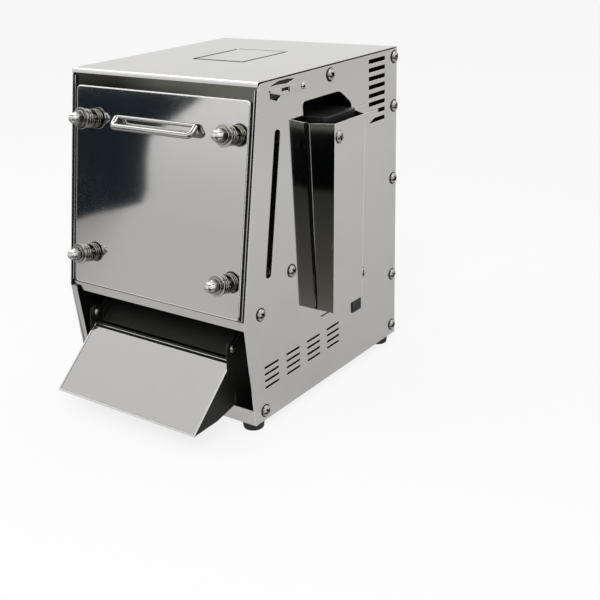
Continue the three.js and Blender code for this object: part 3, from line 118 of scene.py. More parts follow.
# Studs of the cover, measured on its leaning face, and what is stacked on them
STUD_X = 105 * MM
STUD_DOWNS = {"upper": 55 * MM, "lower": 213 * MM}
STUD_RADIUS = 4 * MM
STUD_SHOULDER = -6.6 * MM
COLUMN_RADIUS = 6 * MM
COLUMN_TAIL_RADIUS = 5 * MM
COLUMN_TAIL = 12 * MM
THREAD_PITCH = 1.25 * MM
THREAD_DEPTH = 0.6 * MM
SPRING_LENGTH = 12 * MM
SPRING_RADIUS = 9.6 * MM
SPRING_WIRE = 1.1 * MM
SPRING_TURNS = 3.0
STACK_START = SPRING_LENGTH + 2 * CLEARANCE
WASHER_RADIUS = 12.25 * MM
WASHER_THICKNESS = 2 * MM
COLLAR_RADIUS = 9 * MM
HEX_RADIUS = 7.5 * MM
HEX_HEIGHT = 6.5 * MM
DOME_RADIUS = 6.4 * MM
DOME_HEIGHT = 7 * MM
DOME_FULLNESS = 0.86

# Nuts of the columns, behind the rear cross plate
NUT_CORNER = 7 * MM
NUT_HEIGHT = 5.5 * MM
NUT_WASHER = 9.5 * MM
NUT_BEHIND = 97.5 * MM

# Cover
COVER_HALF_WIDTH = 127 * MM
COVER_TOP = 18 * MM
COVER_BOTTOM = 251 * MM
COVER_CORNER = 6 * MM
COVER_FOLD = 2.1 * MM

# Front frame: where its lower lip folds, and its plate's level behind the casing's face
FRAME_FOLD = 243 * MM
FRAME_PLATE = (3.3 - 0.05) * MM

# Return lips of the frame beside the cover: side, outer face, levels of the lip and of the black strip of
# painted shade in the groove outside it
SIDE_LIPS = [(-1, 131 * MM, 0.8 * MM, 2.1 * MM), (1, 131.8 * MM, 0.4 * MM, 0.2 * MM)]
LIP_DOWNS = (-250 * MM, -8 * MM)
# Black strip of painted shade that fills the gap between the cover and the right lip: its level and its run
GAP_SHADE_LEVEL = 1.2 * MM
GAP_SHADE_DOWNS = (-250 * MM, -20 * MM)

# Slide of the chute from its top to its tip, as y and z, and its hems, painted brighter as a highlight, with a
# band of painted shade between the top two
CHUTE_TOP = (-36 * MM, 76 * MM)
CHUTE_TIP = (-107 * MM, 14 * MM)
CHUTE_HALF_WIDTH = 107.9 * MM
HEM_WIDTH = 2 * MM
HEM_LEVELS = (-0.1 * MM, 0.6 * MM)
CREASE_WIDTH = 0.3 * MM
CREASE_LEVELS = (-0.1 * MM, 0.15 * MM)
TOP_BAND = (-4.2 * MM, -0.9 * MM)
TOP_LINE = 0.7 * MM

# Hatch opening, and a black strip of painted shade in its gap and on the roof, which ends before the hinge
HATCH_X = (-42.4 * MM, 31.6 * MM)
HATCH_Y = (108 * MM, 198.4 * MM)
HATCH_HINGE_END = 8 * MM
HATCH_SHADE_WIDTH = 0.75 * MM
HATCH_SHADE_LIP = 0.8 * MM
HATCH_SHADE_GAP_LEVELS = (CASING_HEIGHT - 1.1 * MM, CASING_HEIGHT - 0.15 * MM)
HATCH_SHADE_LIP_LEVELS = (CASING_HEIGHT + 0.03 * MM, CASING_HEIGHT + 0.3 * MM)

# Handle
HANDLE_RADIUS = 3.5 * MM
HANDLE_HALF_LENGTH = 58 * MM
HANDLE_STANDOFF = 11 * MM
HANDLE_DOWN = 60 * MM
HANDLE_RISE = 10.3 * MM
HANDLE_BACK_RADIUS = 2.1 * MM
HANDLE_BEND = 5 * MM

# Foot, as radii and heights in millimetres up to its stud
FOOT_PROFILE = [
    (0, 1.2), (6, 1.2), (6.6, 0), (11, 0), (11.8, 0.8), (12.5, 5), (12.1, 5.5), (12.7, 6.2), (13, 8.9),
    (12.2, 9.7), (2.5, 9.7),
]
FOOT_STUD_RADIUS = 2.5 * MM

# Pivots of the chute
PIVOT_HEAD = 4.8 * MM
PIVOT_RISE = 3.2 * MM
PIVOT_PIN = 2.5 * MM

# Camera of the photograph: focal length and optical centre in pixels of its 600 x 600 frame
IMAGE_PX = 600
FOCAL_PX = 971.9
OPTICAL_X_PX = 274.33
OPTICAL_Y_PX = 324.76
CAMERA_AZIMUTH = math.radians(37.16)
CAMERA_ELEVATION = math.radians(23.19)
CAMERA_ROLL = math.radians(-2.50)
CAMERA_EYE = (739.3 * MM, -787.6 * MM, 538.3 * MM)
SENSOR_MM = 36

record = frame["record"]
BODY_OF = {node: body for body, nodes in record["behaviour"]["bodies"].items() for node in nodes}
SLOT_OF = {row["node"]: row["material_slot"] for row in record["subparts"]}


def casing(x, y, z):
    """Point of the casing's own frame, which starts at the middle of its top front edge's foot."""
    return Vector((CENTRE_X + x, FRONT_Y + y, BASE_Z + z))


# Matrices of the casing and of its leaning face: X across, Y behind it, Z up along it, from its top edge
IN_PLACE = Matrix.Translation(casing(0, 0, 0))
FACE = Matrix.Translation(casing(0, 0, CASING_HEIGHT)) @ Matrix.Rotation(-LEAN, 4, "X")
TO_FACE = FACE.inverted()
FACE_NORMAL = (FACE.to_3x3() @ Vector((0, -1, 0))).normalized()


def facing_out(x, down, behind=0.0):
    """Matrix whose Z axis points out of the leaning face."""
    return FACE @ Matrix.Translation((x, behind, -down)) @ Matrix.Rotation(math.radians(90), 4, "X")


def studs():
    """Name, place across and place down the face of each stud."""
    for level, down in STUD_DOWNS.items():
        for side, x in (("left", -STUD_X), ("right", STUD_X)):
            yield f"{level}_{side}", x, down


# Camera
def camera_axes():
    """Right, up and back of the camera, with its roll."""
    flat = math.cos(CAMERA_ELEVATION)
    level = Vector((math.cos(CAMERA_AZIMUTH), math.sin(CAMERA_AZIMUTH), 0))
    back = Vector((level.y * flat, -level.x * flat, math.sin(CAMERA_ELEVATION)))
    rise = back.cross(level)
    right = math.cos(CAMERA_ROLL) * level + math.sin(CAMERA_ROLL) * rise
    up = math.cos(CAMERA_ROLL) * rise - math.sin(CAMERA_ROLL) * level
    return right, up, back


def make_camera():
    data = bpy.data.cameras.new("camera")
    data.sensor_width = SENSOR_MM
    data.lens = FOCAL_PX / IMAGE_PX * SENSOR_MM
    data.shift_x = 0.5 - OPTICAL_X_PX / IMAGE_PX
    data.shift_y = OPTICAL_Y_PX / IMAGE_PX - 0.5
    camera = link("camera", data)
    rotation = Matrix(camera_axes()).transposed().to_4x4()
    camera.matrix_world = Matrix.Translation(casing(*CAMERA_EYE)) @ rotation
    bpy.context.scene.camera = camera


# Node trees
def fill(tree, target, inputs):
    """Set or join each input of a node by its name or number."""
    for key, value in inputs.items():
        if isinstance(value, bpy.types.NodeSocket):
            tree.links.new(value, target.inputs[key])
        else:
            target.inputs[key].default_value = value


def node(tree, kind, inputs=None, **settings):
    """Outputs of a new node with its settings and inputs."""
    made = tree.nodes.new(kind)
    for name, value in settings.items():
        setattr(made, name, value)
    fill(tree, made, inputs or {})
    return made.outputs


def chained(tree, operation, values):
    """Values joined by one operation, from the first to the last."""
    result = values[0]
    for value in values[1:]:
        result = node(tree, "ShaderNodeMath", {0: result, 1: value}, operation=operation)[0]
    return result


def product(tree, *values):
    return chained(tree, "MULTIPLY", values)


def total(tree, *values):
    return chained(tree, "ADD", values)


def difference(tree, first, second):
    return chained(tree, "SUBTRACT", (first, second))


def ranged(tree, value, low, high, to_low, to_high):
    """Value moved from one range to another, held within the second."""
    return node(tree, "ShaderNodeMapRange", {0: value, 1: low, 2: high, 3: to_low, 4: to_high})[0]


def xyz(tree, vector):
    """Parts of a vector."""
    return tuple(node(tree, "ShaderNodeSeparateXYZ", {0: vector}))


def object_place(tree):
    return node(tree, "ShaderNodeTexCoord")["Object"]


def upward(tree):
    """How far the surface looks up, from -1 to 1."""
    return xyz(tree, node(tree, "ShaderNodeNewGeometry")["Normal"])[2]


def noise(tree, stretch, scale, detail=2.0, rough=0.5):
    """Noise in object coordinates, stretched on each axis."""
    place = node(tree, "ShaderNodeMapping", {"Vector": object_place(tree), "Scale": stretch})[0]
    return node(tree, "ShaderNodeTexNoise", {
        "Vector": place, "Scale": scale, "Detail": detail, "Roughness": rough,
    })[0]


EVEN = (1, 1, 1)


def polish_marks(group, given):
    """Marks of polishing and handling on sheet: fine lines, smudges, and the slow waves of rolled sheet."""
    lines = noise(group, (900, 900, 24), 1.0)
    smudges = ranged(group, noise(group, EVEN, 14.0, 5.0, 0.62), 0.5, 0.72, 0.0, 1.0)
    specks = ranged(group, noise(group, EVEN, 420.0), 0.66, 0.72, 0.0, 1.0)
    lined = product(group, lines, given["Line Amount"], given["Roughness"])
    dirt = [product(group, smudges, 0.03), product(group, specks, 0.04)]
    return {
        "Roughness": total(group, lined, *dirt, given["Roughness"]),
        "Waves": noise(group, EVEN, 5.5, 1.0),
        "Shade": ranged(group, smudges, 0.0, 1.0, 1.0, 0.975),
    }


def ground_grain(group, given):
    """Brushed or ground grain along the object's X axis, with streaks of uneven shade."""
    fine = noise(group, (30, 1400, 1400), 1.0, 3.0)
    broad = ranged(group, noise(group, (4, 60, 60), 1.0, 3.0), 0.3, 0.7, 0.88, 1.06)
    blotch = ranged(group, noise(group, EVEN, 30.0, 4.0), 0.35, 0.7, 0.92, 1.04)
    spread = product(group, ranged(group, fine, 0.3, 0.7, -0.1, 0.1), given["Grain"])
    return {
        "Roughness": total(group, given["Roughness"], spread),
        "Height": fine,
        "Shade": product(group, broad, blotch),
    }


def moulded_grit(group, given):
    """Fine pits and specks of moulded or cast surfaces, and dust where they look up."""
    patches = noise(group, EVEN, 22.0, 4.0)
    light = product(group, difference(group, patches, 0.5), given["Contrast"])
    lying = ranged(group, upward(group), 0.5, 1.0, 0.0, 1.0)
    return {
        "Height": noise(group, EVEN, given["Size"], 3.0, 0.6),
        "Shade": total(group, light, 1.0),
        "Dust": product(group, lying, ranged(group, patches, 0.45, 0.75, 0.0, 0.25)),
    }


def shader_group(build, *inputs):
    """Shader node group that works out the numbers of one of the functions above from its named inputs."""
    group = bpy.data.node_groups.new(build.__name__, "ShaderNodeTree")
    for label in inputs:
        group.interface.new_socket(label, in_out="INPUT", socket_type="NodeSocketFloat")
    results = build(group, group.nodes.new("NodeGroupInput").outputs)
    for label in results:
        group.interface.new_socket(label, in_out="OUTPUT", socket_type="NodeSocketFloat")
    fill(group, group.nodes.new("NodeGroupOutput"), results)
    return group


def edge_mask(tree):
    """Mask of the eased edges, which is stored on the mesh as the attribute named edge."""
    return node(tree, "ShaderNodeAttribute", attribute_name="edge")["Fac"]


def shaded(tree, color, shade):
    """Colour times a shade that changes over the surface."""
    grey = node(tree, "ShaderNodeCombineColor", {0: shade, 1: shade, 2: shade})[0]
    return node(tree, "ShaderNodeMix", {0: 1.0, 6: (*color, 1), 7: grey}, data_type="RGBA",
                blend_type="MULTIPLY")[2]


def blended(tree, mask, color_a, color_b):
    """Mix of two colours, each a value or a socket, by a mask."""
    sockets = {0: mask}
    for key, color in ((6, color_a), (7, color_b)):
        sockets[key] = color if isinstance(color, bpy.types.NodeSocket) else (*color, 1)
    return node(tree, "ShaderNodeMix", sockets, data_type="RGBA")[2]


def ramped(tree, value, stops):
    """Colour of a ramp at a value; each stop is a place and a colour."""
    made = node(tree, "ShaderNodeValToRGB", {0: value})[0]
    ramp = made.node.color_ramp
    while len(ramp.elements) < len(stops):
        ramp.elements.new(1.0)
    for element, (place, color) in zip(ramp.elements, stops):
        element.position = place
        element.color = (*color, 1)
    return made


def bump(tree, height, distance, facing=None):
    """Bumped normal of the surface, or of a direction that it should seem to face."""
    inputs = {"Height": height, "Distance": distance, "Strength": 1.0}
    if facing:
        inputs["Normal"] = node(tree, "ShaderNodeCombineXYZ", dict(enumerate(facing)))[0]
    return node(tree, "ShaderNodeBump", inputs)[0]


def crevices(tree, reach):
    """Mask of painted shade in crevices within a short reach, from 0 in the open to 1 deep inside."""
    open_air = node(tree, "ShaderNodeAmbientOcclusion", {"Distance": reach}, samples=6)["AO"]
    return ranged(tree, open_air, 0.4, 0.97, 1.0, 0.0)


def new_material(name, group, inputs):
    """Material with its tree, its shader and the outputs of one of the shared groups."""
    material = bpy.data.materials.new(name)
    material.use_nodes = True
    tree = material.node_tree
    marks = node(tree, "ShaderNodeGroup", inputs, node_tree=group)
    return material, tree, tree.nodes["Principled BSDF"], marks


# Materials
POLISH = shader_group(polish_marks, "Line Amount", "Roughness")
GRAIN = shader_group(ground_grain, "Grain", "Roughness")
GRIT = shader_group(moulded_grit, "Size", "Contrast")
# Colour of the painted highlight on eased bends and edges of polished steel
PAINTED_BEND_HIGHLIGHT = (0.94, 0.935, 0.92)
# Colour of painted shade, in crevices and towards the left of the frame
PAINTED_SHADE_COLOR = (0.03, 0.029, 0.026)
SHELF_DUST = (0.32, 0.31, 0.29)
GRAIN_DEPTH = 0.004 * MM

# Painted reflection streaks of a round bright bar: the dark colour they paint, and how dark it is from its
# underside to its top
PAINTED_STREAK_COLOR = (0.05, 0.048, 0.04)
PAINTED_STREAK_STOPS = [
    (0.0, 0.8), (0.22, 0.5), (0.30, 0.25), (0.38, 0.25), (0.42, 0.92), (0.48, 0.92), (0.53, 0.0), (0.76, 0.0),
    (0.80, 0.85), (0.84, 0.8), (0.88, 0.0), (1.0, 0.0),
]


def polished(name, color, roughness, lines=0.35, wave=0.16 * MM, crevice_shade_reach=0.0, left_shade_span=None, facing=None,
             painted_streaks=False):
    """Mirror-polished steel with softer bends that carry a painted highlight.

    It may have painted shade in crevices within a reach, painted shade towards the left between two places
    across, seem to face one way so that a twisted wall mirrors evenly, and show the painted dark reflection
    streaks of a round bar.
    """
    material, tree, shader, marks = new_material(name, POLISH, {"Line Amount": lines, "Roughness": roughness})
    edge = edge_mask(tree)
    # Eased edges take a brighter colour as a painted highlight
    base = blended(tree, edge, shaded(tree, color, marks["Shade"]), PAINTED_BEND_HIGHLIGHT)
    # Painted shade: ambient occlusion darkens the crevices
    if crevice_shade_reach:
        base = blended(tree, crevices(tree, crevice_shade_reach), base, PAINTED_SHADE_COLOR)
    if left_shade_span:
        # Painted shade: darker towards the left across the object
        across = xyz(tree, object_place(tree))[0]
        base = blended(tree, ranged(tree, across, *left_shade_span, 0.85, 0.0), base, PAINTED_SHADE_COLOR)
    # Painted reflection: dark streaks by how far the surface looks up
    if painted_streaks:
        stops = [(place, (dark, dark, dark)) for place, dark in PAINTED_STREAK_STOPS]
        streaks = ramped(tree, ranged(tree, upward(tree), -1.0, 1.0, 0.0, 1.0), stops)
        base = blended(tree, streaks, base, PAINTED_STREAK_COLOR)
    fill(tree, shader, {
        "Metallic": 1.0,
        "Base Color": base,
        "Roughness": total(tree, marks["Roughness"], product(tree, edge, 0.2)),
        "Normal": bump(tree, marks["Waves"], wave, facing),
    })
    return material


def ground(name, color, roughness, grain=1.0, metallic=1.0):
    """Brushed, turned or ground metal."""
    material, tree, shader, marks = new_material(name, GRAIN, {"Grain": grain, "Roughness": roughness})
    base = shaded(tree, color, marks["Shade"])
    worn = [min(1, part * 1.35) for part in color]
    fill(tree, shader, {
        "Metallic": metallic,
        "Base Color": blended(tree, product(tree, edge_mask(tree), 0.5), base, worn),
        "Roughness": marks["Roughness"],
        "Normal": bump(tree, marks["Height"], GRAIN_DEPTH),
    })
    return material


def moulded(name, color, roughness, size=900.0, depth=0.03 * MM, metallic=0.0, edge=(0.12,) * 3,
            contrast=0.3, shine=0.5):
    """Moulded plastic, rubber, cast iron or paint, with dust on what looks up and worn edges."""
    material, tree, shader, grit = new_material(name, GRIT, {"Size": size, "Contrast": contrast})
    base = shaded(tree, color, grit["Shade"])
    worn = blended(tree, product(tree, edge_mask(tree), 0.45), base, edge)
    fill(tree, shader, {
        "Metallic": metallic,
        "Specular IOR Level": shine,
        "Base Color": blended(tree, product(tree, grit["Dust"], 0.35), worn, SHELF_DUST),
        "Roughness": ranged(tree, grit["Height"], 0.3, 0.7, roughness - 0.06, roughness + 0.06),
        "Normal": bump(tree, grit["Height"], depth),
    })
    return material


MATERIALS = {
    "polished_steel": polished("mirror_steel", (0.70, 0.693, 0.68), 0.05),
    "plain_steel": ground("plain_steel", (0.46, 0.455, 0.445), 0.34),
    # Turned steel with painted shade in crevices and painted reflection streaks
    "bright_steel": polished("bright_turned_steel", (0.62, 0.605, 0.555), 0.09, 0.9, 0.03 * MM, 4.5 * MM,
                             painted_streaks=True),
    "black_plastic": moulded("black_plastic", (0.012, 0.012, 0.013), 0.42),
    "black_rubber": moulded("black_rubber", (0.011,) * 3, 0.72, 600.0, 0.06 * MM, 0.0, (0.05,) * 3),
    "cast_iron": moulded("cast_iron", (0.075, 0.076, 0.08), 0.5, 500.0, 0.1 * MM, 0.6, (0.35,) * 3),
    "motor_paint": moulded("motor_paint", (0.015, 0.015, 0.017), 0.36, 260.0, 0.06 * MM, 0.0, (0.08,) * 3),
    "platen_aluminium": ground("platen_aluminium", (0.56, 0.56, 0.57), 0.3),
    "heater_steel": ground("heater_steel", (0.17, 0.15, 0.135), 0.45),
    "mica": moulded("mica_sheet", (0.50, 0.44, 0.29), 0.6, 300.0, 0.04 * MM, 0.0, (0.6, 0.54, 0.38), 0.5),
}
MIRROR = MATERIALS["polished_steel"]
CUT_EDGE = ground("cut_sheet_edge", (0.82, 0.815, 0.80), 0.3, grain=0.6)
# Frame plate in the cover's shade: its dark colour and its darkening towards the left are painted shade
FRAME_STEEL_PAINTED_SHADE = polished("frame_steel_painted_shade", (0.145, 0.144, 0.128), 0.09, left_shade_span=(-80 * MM, -20 * MM))
# Near-black steel that paints the shade inside the casing, on inside faces, dark cut edges and inner parts
PAINTED_SHADE_STEEL = ground("inner_steel_painted_shade", (0.012, 0.012, 0.011), 0.5, metallic=0.3)
FOLD_STEEL = polished("frame_fold_steel", (0.68, 0.673, 0.66), 0.08, facing=FACE_NORMAL)
FLANGE_STEEL = ground("brushed_flange_steel", (0.60, 0.595, 0.58), 0.5, metallic=0.0)
# Black for strips that paint the shade in gaps, grooves and creases
GAP_SHADE_BLACK = moulded("gap_shade_black", (0.006,) * 3, 0.8, 600.0, 0.04 * MM, 0.0, (0.01,) * 3, shine=0.08)
# Brighter steel that paints a highlight on the chute's hems
HEM_HIGHLIGHT_STEEL = polished("hem_steel_painted_highlight", (0.90, 0.895, 0.88), 0.12)
WALL_STEEL = polished("cowl_wall_steel", (0.70, 0.693, 0.68), 0.02, facing=(0, -1, 0))
# Handle steel with painted shade in crevices and painted reflection streaks
HANDLE_STEEL = polished("handle_steel", (0.68, 0.675, 0.655), 0.06, crevice_shade_reach=5 * MM, painted_streaks=True)
# Spring steel with painted reflection streaks
SPRING_STEEL = polished("spring_steel", (0.58, 0.56, 0.505), 0.16, 0.8, 0.01 * MM, 2 * MM, painted_streaks=True)


# Meshes
def link(name, data):
    made = bpy.data.objects.new(name, data)
    bpy.context.scene.collection.objects.link(made)
    return made


def source(name, mesh):
    """Hidden object, whose copies a tree sets on points."""
    made = link(name, mesh)
    made.hide_render = True
    return made


def mesh_of(body, name, materials=()):
    """Mesh of a bmesh, which it frees."""
    mesh = bpy.data.meshes.new(name)
    for material in materials:
        mesh.materials.append(material)
    body.to_mesh(mesh)
    body.free()
    return mesh


def taken_from(thing):
    """Plain mesh of an object with its modifiers. The object is removed."""
    graph = bpy.context.evaluated_depsgraph_get()
    final = bpy.data.meshes.new_from_object(thing.evaluated_get(graph))
    bpy.data.objects.remove(thing)
    return final


def modified(name, mesh, steps):
    """Plain mesh after one or more modifiers, each a kind with its settings."""
    thing = link(name, mesh)
    for kind, settings in steps.items():
        modifier = thing.modifiers.new(kind, kind)
        for key, value in settings.items():
            setattr(modifier, key, value)
    return taken_from(thing)


def strip_width(face):
    """About the width of a long narrow face."""
    return 2 * face.calc_area() / max(face.calc_perimeter(), 1e-9)


def mark_edges(mesh, width):
    """Stores on each face whether it is a narrow eased edge."""
    body = bmesh.new()
    body.from_mesh(mesh)
    values = [1.0 if strip_width(face) < width else 0.0 for face in body.faces]
    body.free()
    layer = mesh.attributes.new("edge", "FLOAT", "FACE")
    layer.data.foreach_set("value", values)


def smoothed(mesh, angle):
    mesh.shade_smooth()
    mesh.set_sharp_from_angle(angle=math.radians(angle))


def finish_piece(name, mesh, materials, body, replaced=()):
    """Object of a finished mesh that rides on its body and stands for its nodes."""
    piece = link(name, mesh)
    if not mesh.materials:
        for material in materials:
            mesh.materials.append(material)
    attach(piece, body)
    if replaced:
        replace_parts(piece, *replaced)
    return piece


def finish_node(name, mesh, *materials):
    """Finished mesh that stands for a node."""
    return finish_piece("finished_" + name, mesh, materials, BODY_OF[name], [name])


def inset(point):
    """How far a point lies inside the casing's outer skin."""
    sides = HALF_WIDTH - abs(point.x - CENTRE_X)
    above = BASE_Z + CASING_HEIGHT - point.z
    behind = FRONT_Y + CASING_DEPTH - point.y
    level = point.z - BASE_Z
    if level > KNEE_HEIGHT:
        front = (TO_FACE @ point).y
    else:
        knee = FRONT_Y - (CASING_HEIGHT - KNEE_HEIGHT) * math.tan(LEAN)
        front = point.y - knee - KNEE_SETBACK * (1 - level / KNEE_HEIGHT)
    return min(sides, above, behind, front)


# Slots of a sheet piece's faces: most have 0 outside, 1 on a cut edge and 2 inside, where near-black steel
# paints the shade inside the casing
def is_cut_edge(face):
    return strip_width(face) < NARROW


def skin_or_inside(face):
    """Slot of a face of the casing's sides, roof and hatch."""
    if face.normal.y < -0.9 and face.calc_center_median().y < FRONT_Y + FLANGE_DEPTH:
        return 0
    if is_cut_edge(face):
        return 1
    return 2 if inset(face.calc_center_median()) > SKIN_DEPTH else 0


def pan_side(face):
    """Slot of a base pan face, which is outside if it looks away from the pan's middle."""
    if is_cut_edge(face):
        return 1
    middle = Vector((CENTRE_X, FRONT_Y + CASING_DEPTH / 2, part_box("base_pan")[1].z))
    return 0 if face.normal.dot(face.calc_center_median() - middle) > 0 else 2


def cowl_side(face):
    """Slot of a cowl face, which is 3 on the front wall."""
    if is_cut_edge(face):
        return 1
    normal = face.normal
    if normal.y < -0.8:
        return 3
    return 2 if normal.x < -0.25 or (normal.x < 0.25 and normal.y > 0.5) else 0


def chute_side(face):
    """Slot of a chute face: 0 on the slide, 1 on a cut edge, 2 on the cheeks and the underside."""
    if is_cut_edge(face):
        return 1
    return 0 if face.normal.z > 0.3 else 2


def frame_side(face):
    """Slot of a frame face: 0 on the plate, whose dark steel paints the shade of the cover, 1 on the lower lip.
    """
    return 1 if (TO_FACE @ face.calc_center_median()).z < -FRAME_FOLD else 0


# Edges that are eased widely
def between_wide_faces(edge):
    return min(strip_width(face) for face in edge.link_faces) > BROAD


def roof_bend(edge):
    """Whether an edge is the roof's front bend."""
    top = BASE_Z + CASING_HEIGHT - TOUCHING
    return all((TO_FACE @ vertex.co).y < TOUCHING and vertex.co.z > top for vertex in edge.verts)


def cover_rim(edge):
    """Whether an edge is part of the cover's front rim."""
    places = [TO_FACE @ vertex.co for vertex in edge.verts]
    middle = (places[0] + places[1]) / 2
    across = abs(middle.x) > COVER_HALF_WIDTH - COVER_CORNER
    along = not COVER_TOP + COVER_CORNER < -middle.z < COVER_BOTTOM - COVER_CORNER
    return (across or along) and all(abs(place.y) < TOUCHING for place in places)


# Easing of a solid: how near two corners are one, how flat a bend is no edge, and from where on it is eased
FIRM = {"WEIGHTED_NORMAL": {"keep_sharp": True}}
DOUBLES = 0.004 * MM
FLAT = math.radians(0.6)
EASED_FROM = math.radians(28)


def clean_solid(name):
    """Bmesh of a node's solid, its doubles merged and its flat faces joined."""
    solid = frame["nodes"][name].data
    plain = bpy.data.meshes.new(name + "_plain")
    plain.from_pydata([tuple(v.co) for v in solid.vertices], [], [tuple(p.vertices) for p in solid.polygons])
    body = bmesh.new()
    body.from_mesh(plain)
    bpy.data.meshes.remove(plain)
    bmesh.ops.remove_doubles(body, verts=body.verts, dist=DOUBLES)
    bmesh.ops.dissolve_limit(body, angle_limit=FLAT, verts=body.verts, edges=body.edges)
    return body


def dressed(name, materials, pick=None, wide=between_wide_faces, bend=0.9 * MM, ease=0.25 * MM, steps=2):
    """Finished copy of a node: its bends and edges eased, and each face given its material's slot."""
    body = clean_solid(name)
    weights = body.edges.layers.float.new("bevel_weight_edge")
    for face in body.faces:
        face.smooth = True
        face.material_index = pick(face) if pick else 0
    for edge in body.edges:
        if len(edge.link_faces) == 2 and edge.calc_face_angle(0) >= EASED_FROM:
            edge[weights] = 1.0 if wide(edge) else ease / bend
    bevel = {"width": bend, "segments": steps, "limit_method": "WEIGHT", "use_clamp_overlap": False,
             "harden_normals": True}
    final = modified(name, mesh_of(body, name, materials), {"BEVEL": bevel, **FIRM})
    mark_edges(final, max(bend * 0.85, ease * 1.2))
    return finish_node(name, final)


def eased_profile(points, size):
    """Profile with each inner corner replaced by a short curve of three points."""
    result = [points[0]]
    for before, corner, after in zip(points, points[1:], points[2:]):
        corner, before, after = Vector(corner), Vector(before), Vector(after)
        back, ahead = before - corner, after - corner
        reach = min(size, back.length * 0.45, ahead.length * 0.45)
        start = corner + back.normalized() * reach
        end = corner + ahead.normalized() * reach
        middle = (start + end + 2 * corner) / 4
        result += [tuple(start), tuple(middle), tuple(end)]
    return result + [points[-1]]


def quarter(steps, radius, base, rise, fullness=1.0):
    """Points of a dome from its foot, which it leaves out, to the axis."""
    turns = [math.pi / 2 * i / steps for i in range(1, steps)]
    points = [(radius * math.cos(turn) ** fullness, base + rise * math.sin(turn)) for turn in turns]
    return points + [(0, base + rise)]


def lathe_mesh(name, profile, matrix, sides, radius_at=None):
    """Closed turned mesh about the matrix's Z axis; radius_at may limit the radius by angle and height."""
    body = bmesh.new()
    rings = []
    for radius, height in profile:
        if radius < 1e-7:
            rings.append([body.verts.new((0, 0, height))])
            continue
        ring = []
        for i in range(sides):
            turn = TAU * i / sides
            reach = radius_at(radius, turn, height) if radius_at else radius
            ring.append(body.verts.new((reach * math.cos(turn), reach * math.sin(turn), height)))
        rings.append(ring)
    for low, high in zip(rings, rings[1:]):
        for i in range(sides):
            j = (i + 1) % sides
            if len(low) == 1:
                body.faces.new((low[0], high[j], high[i]))
            elif len(high) == 1:
                body.faces.new((low[i], low[j], high[0]))
            else:
                body.faces.new((low[i], low[j], high[j], high[i]))
    bmesh.ops.recalc_face_normals(body, faces=body.faces)
    body.transform(matrix)
    return mesh_of(body, name)


def turned_piece(name, profile, matrix, material, sides, ease, radius_at=None, angle=38):
    """Turned piece that stands for a node."""
    mesh = lathe_mesh(name, eased_profile(profile, ease), matrix, sides, radius_at)
    smoothed(mesh, angle)
    final = modified(name, mesh, FIRM)
    mark_edges(final, ease * 0.8)
    finish_node(name, final, material)


# Geometry Nodes
def swept(tree, line, sides, radius):
    """Smooth round bar along a line."""
    section = node(tree, "GeometryNodeCurvePrimitiveCircle", {"Resolution": sides, "Radius": radius},
                   mode="RADIUS")[0]
    bar = node(tree, "GeometryNodeCurveToMesh", {
        "Curve": line, "Profile Curve": section, "Fill Caps": True,
    })[0]
    return node(tree, "GeometryNodeSetShadeSmooth", {"Geometry": bar})[0]


def fasteners(tree, given):
    """Copies of a fastener on points, each facing the way that its point says and spun by a seeded angle."""
    facing = node(tree, "GeometryNodeInputNamedAttribute", {"Name": "facing"}, data_type="FLOAT_VECTOR")[0]
    aligned = node(tree, "FunctionNodeAlignRotationToVector", {"Vector": facing}, axis="Z")[0]
    angle = node(tree, "FunctionNodeRandomValue", {2: 0.0, 3: TAU, "Seed": given["Seed"]},
                 data_type="FLOAT")[1]
    spin = node(tree, "FunctionNodeAxisAngleToRotation", {"Axis": (0, 0, 1), "Angle": angle})[0]
    turned = node(tree, "FunctionNodeRotateRotation", {"Rotation": aligned, "Rotate By": spin},
                  rotation_space="LOCAL")[0]
    fastener = node(tree, "GeometryNodeObjectInfo", {"Object": given["Fastener"]})["Geometry"]
    points = node(tree, "GeometryNodeMeshToPoints", {"Mesh": given["Geometry"]})[0]
    return node(tree, "GeometryNodeInstanceOnPoints", {
        "Points": points, "Instance": fastener, "Rotation": turned,
    })[0]


def coil_spring(tree, given):
    """Spiral swept by its wire."""
    spiral = node(tree, "GeometryNodeCurveSpiral", {
        "Resolution": 48, "Rotations": given["Turns"], "Start Radius": given["Radius"],
        "End Radius": given["Radius"], "Height": given["Length"], "Reverse": False,
    })[0]
    return swept(tree, spiral, 16, given["Wire"])


def bent_bar(tree, given):
    """Round bar along the edges of a mesh, with its corners filleted."""
    line = node(tree, "GeometryNodeMeshToCurve", {"Mesh": given["Geometry"]})[0]
    bent = node(tree, "GeometryNodeFilletCurve", {
        "Curve": line, "Count": 14, "Radius": given["Bend"], "Limit Radius": True,
    }, mode="POLY")[0]
    return swept(tree, bent, 40, given["Radius"])


def grow_tree(build, **inputs):
    """Tree that grows what one of the functions above says, makes its copies real and sets their material."""
    tree = bpy.data.node_groups.new(build.__name__, "GeometryNodeTree")
    for label, kind in {"Geometry": "Geometry", **inputs, "Material": "Material"}.items():
        tree.interface.new_socket(label, in_out="INPUT", socket_type="NodeSocket" + kind)
    tree.interface.new_socket("Geometry", in_out="OUTPUT", socket_type="NodeSocketGeometry")
    given = tree.nodes.new("NodeGroupInput").outputs
    real = node(tree, "GeometryNodeRealizeInstances", {"Geometry": build(tree, given)})[0]
    dyed = node(tree, "GeometryNodeSetMaterial", {"Geometry": real, "Material": given["Material"]})[0]
    fill(tree, tree.nodes.new("NodeGroupOutput"), {"Geometry": dyed})
    return tree


FASTENERS = grow_tree(fasteners, Fastener="Object", Seed="Int")
COIL = grow_tree(coil_spring, Radius="Float", Wire="Float", Turns="Float", Length="Float")
BAR = grow_tree(bent_bar, Radius="Float", Bend="Float")


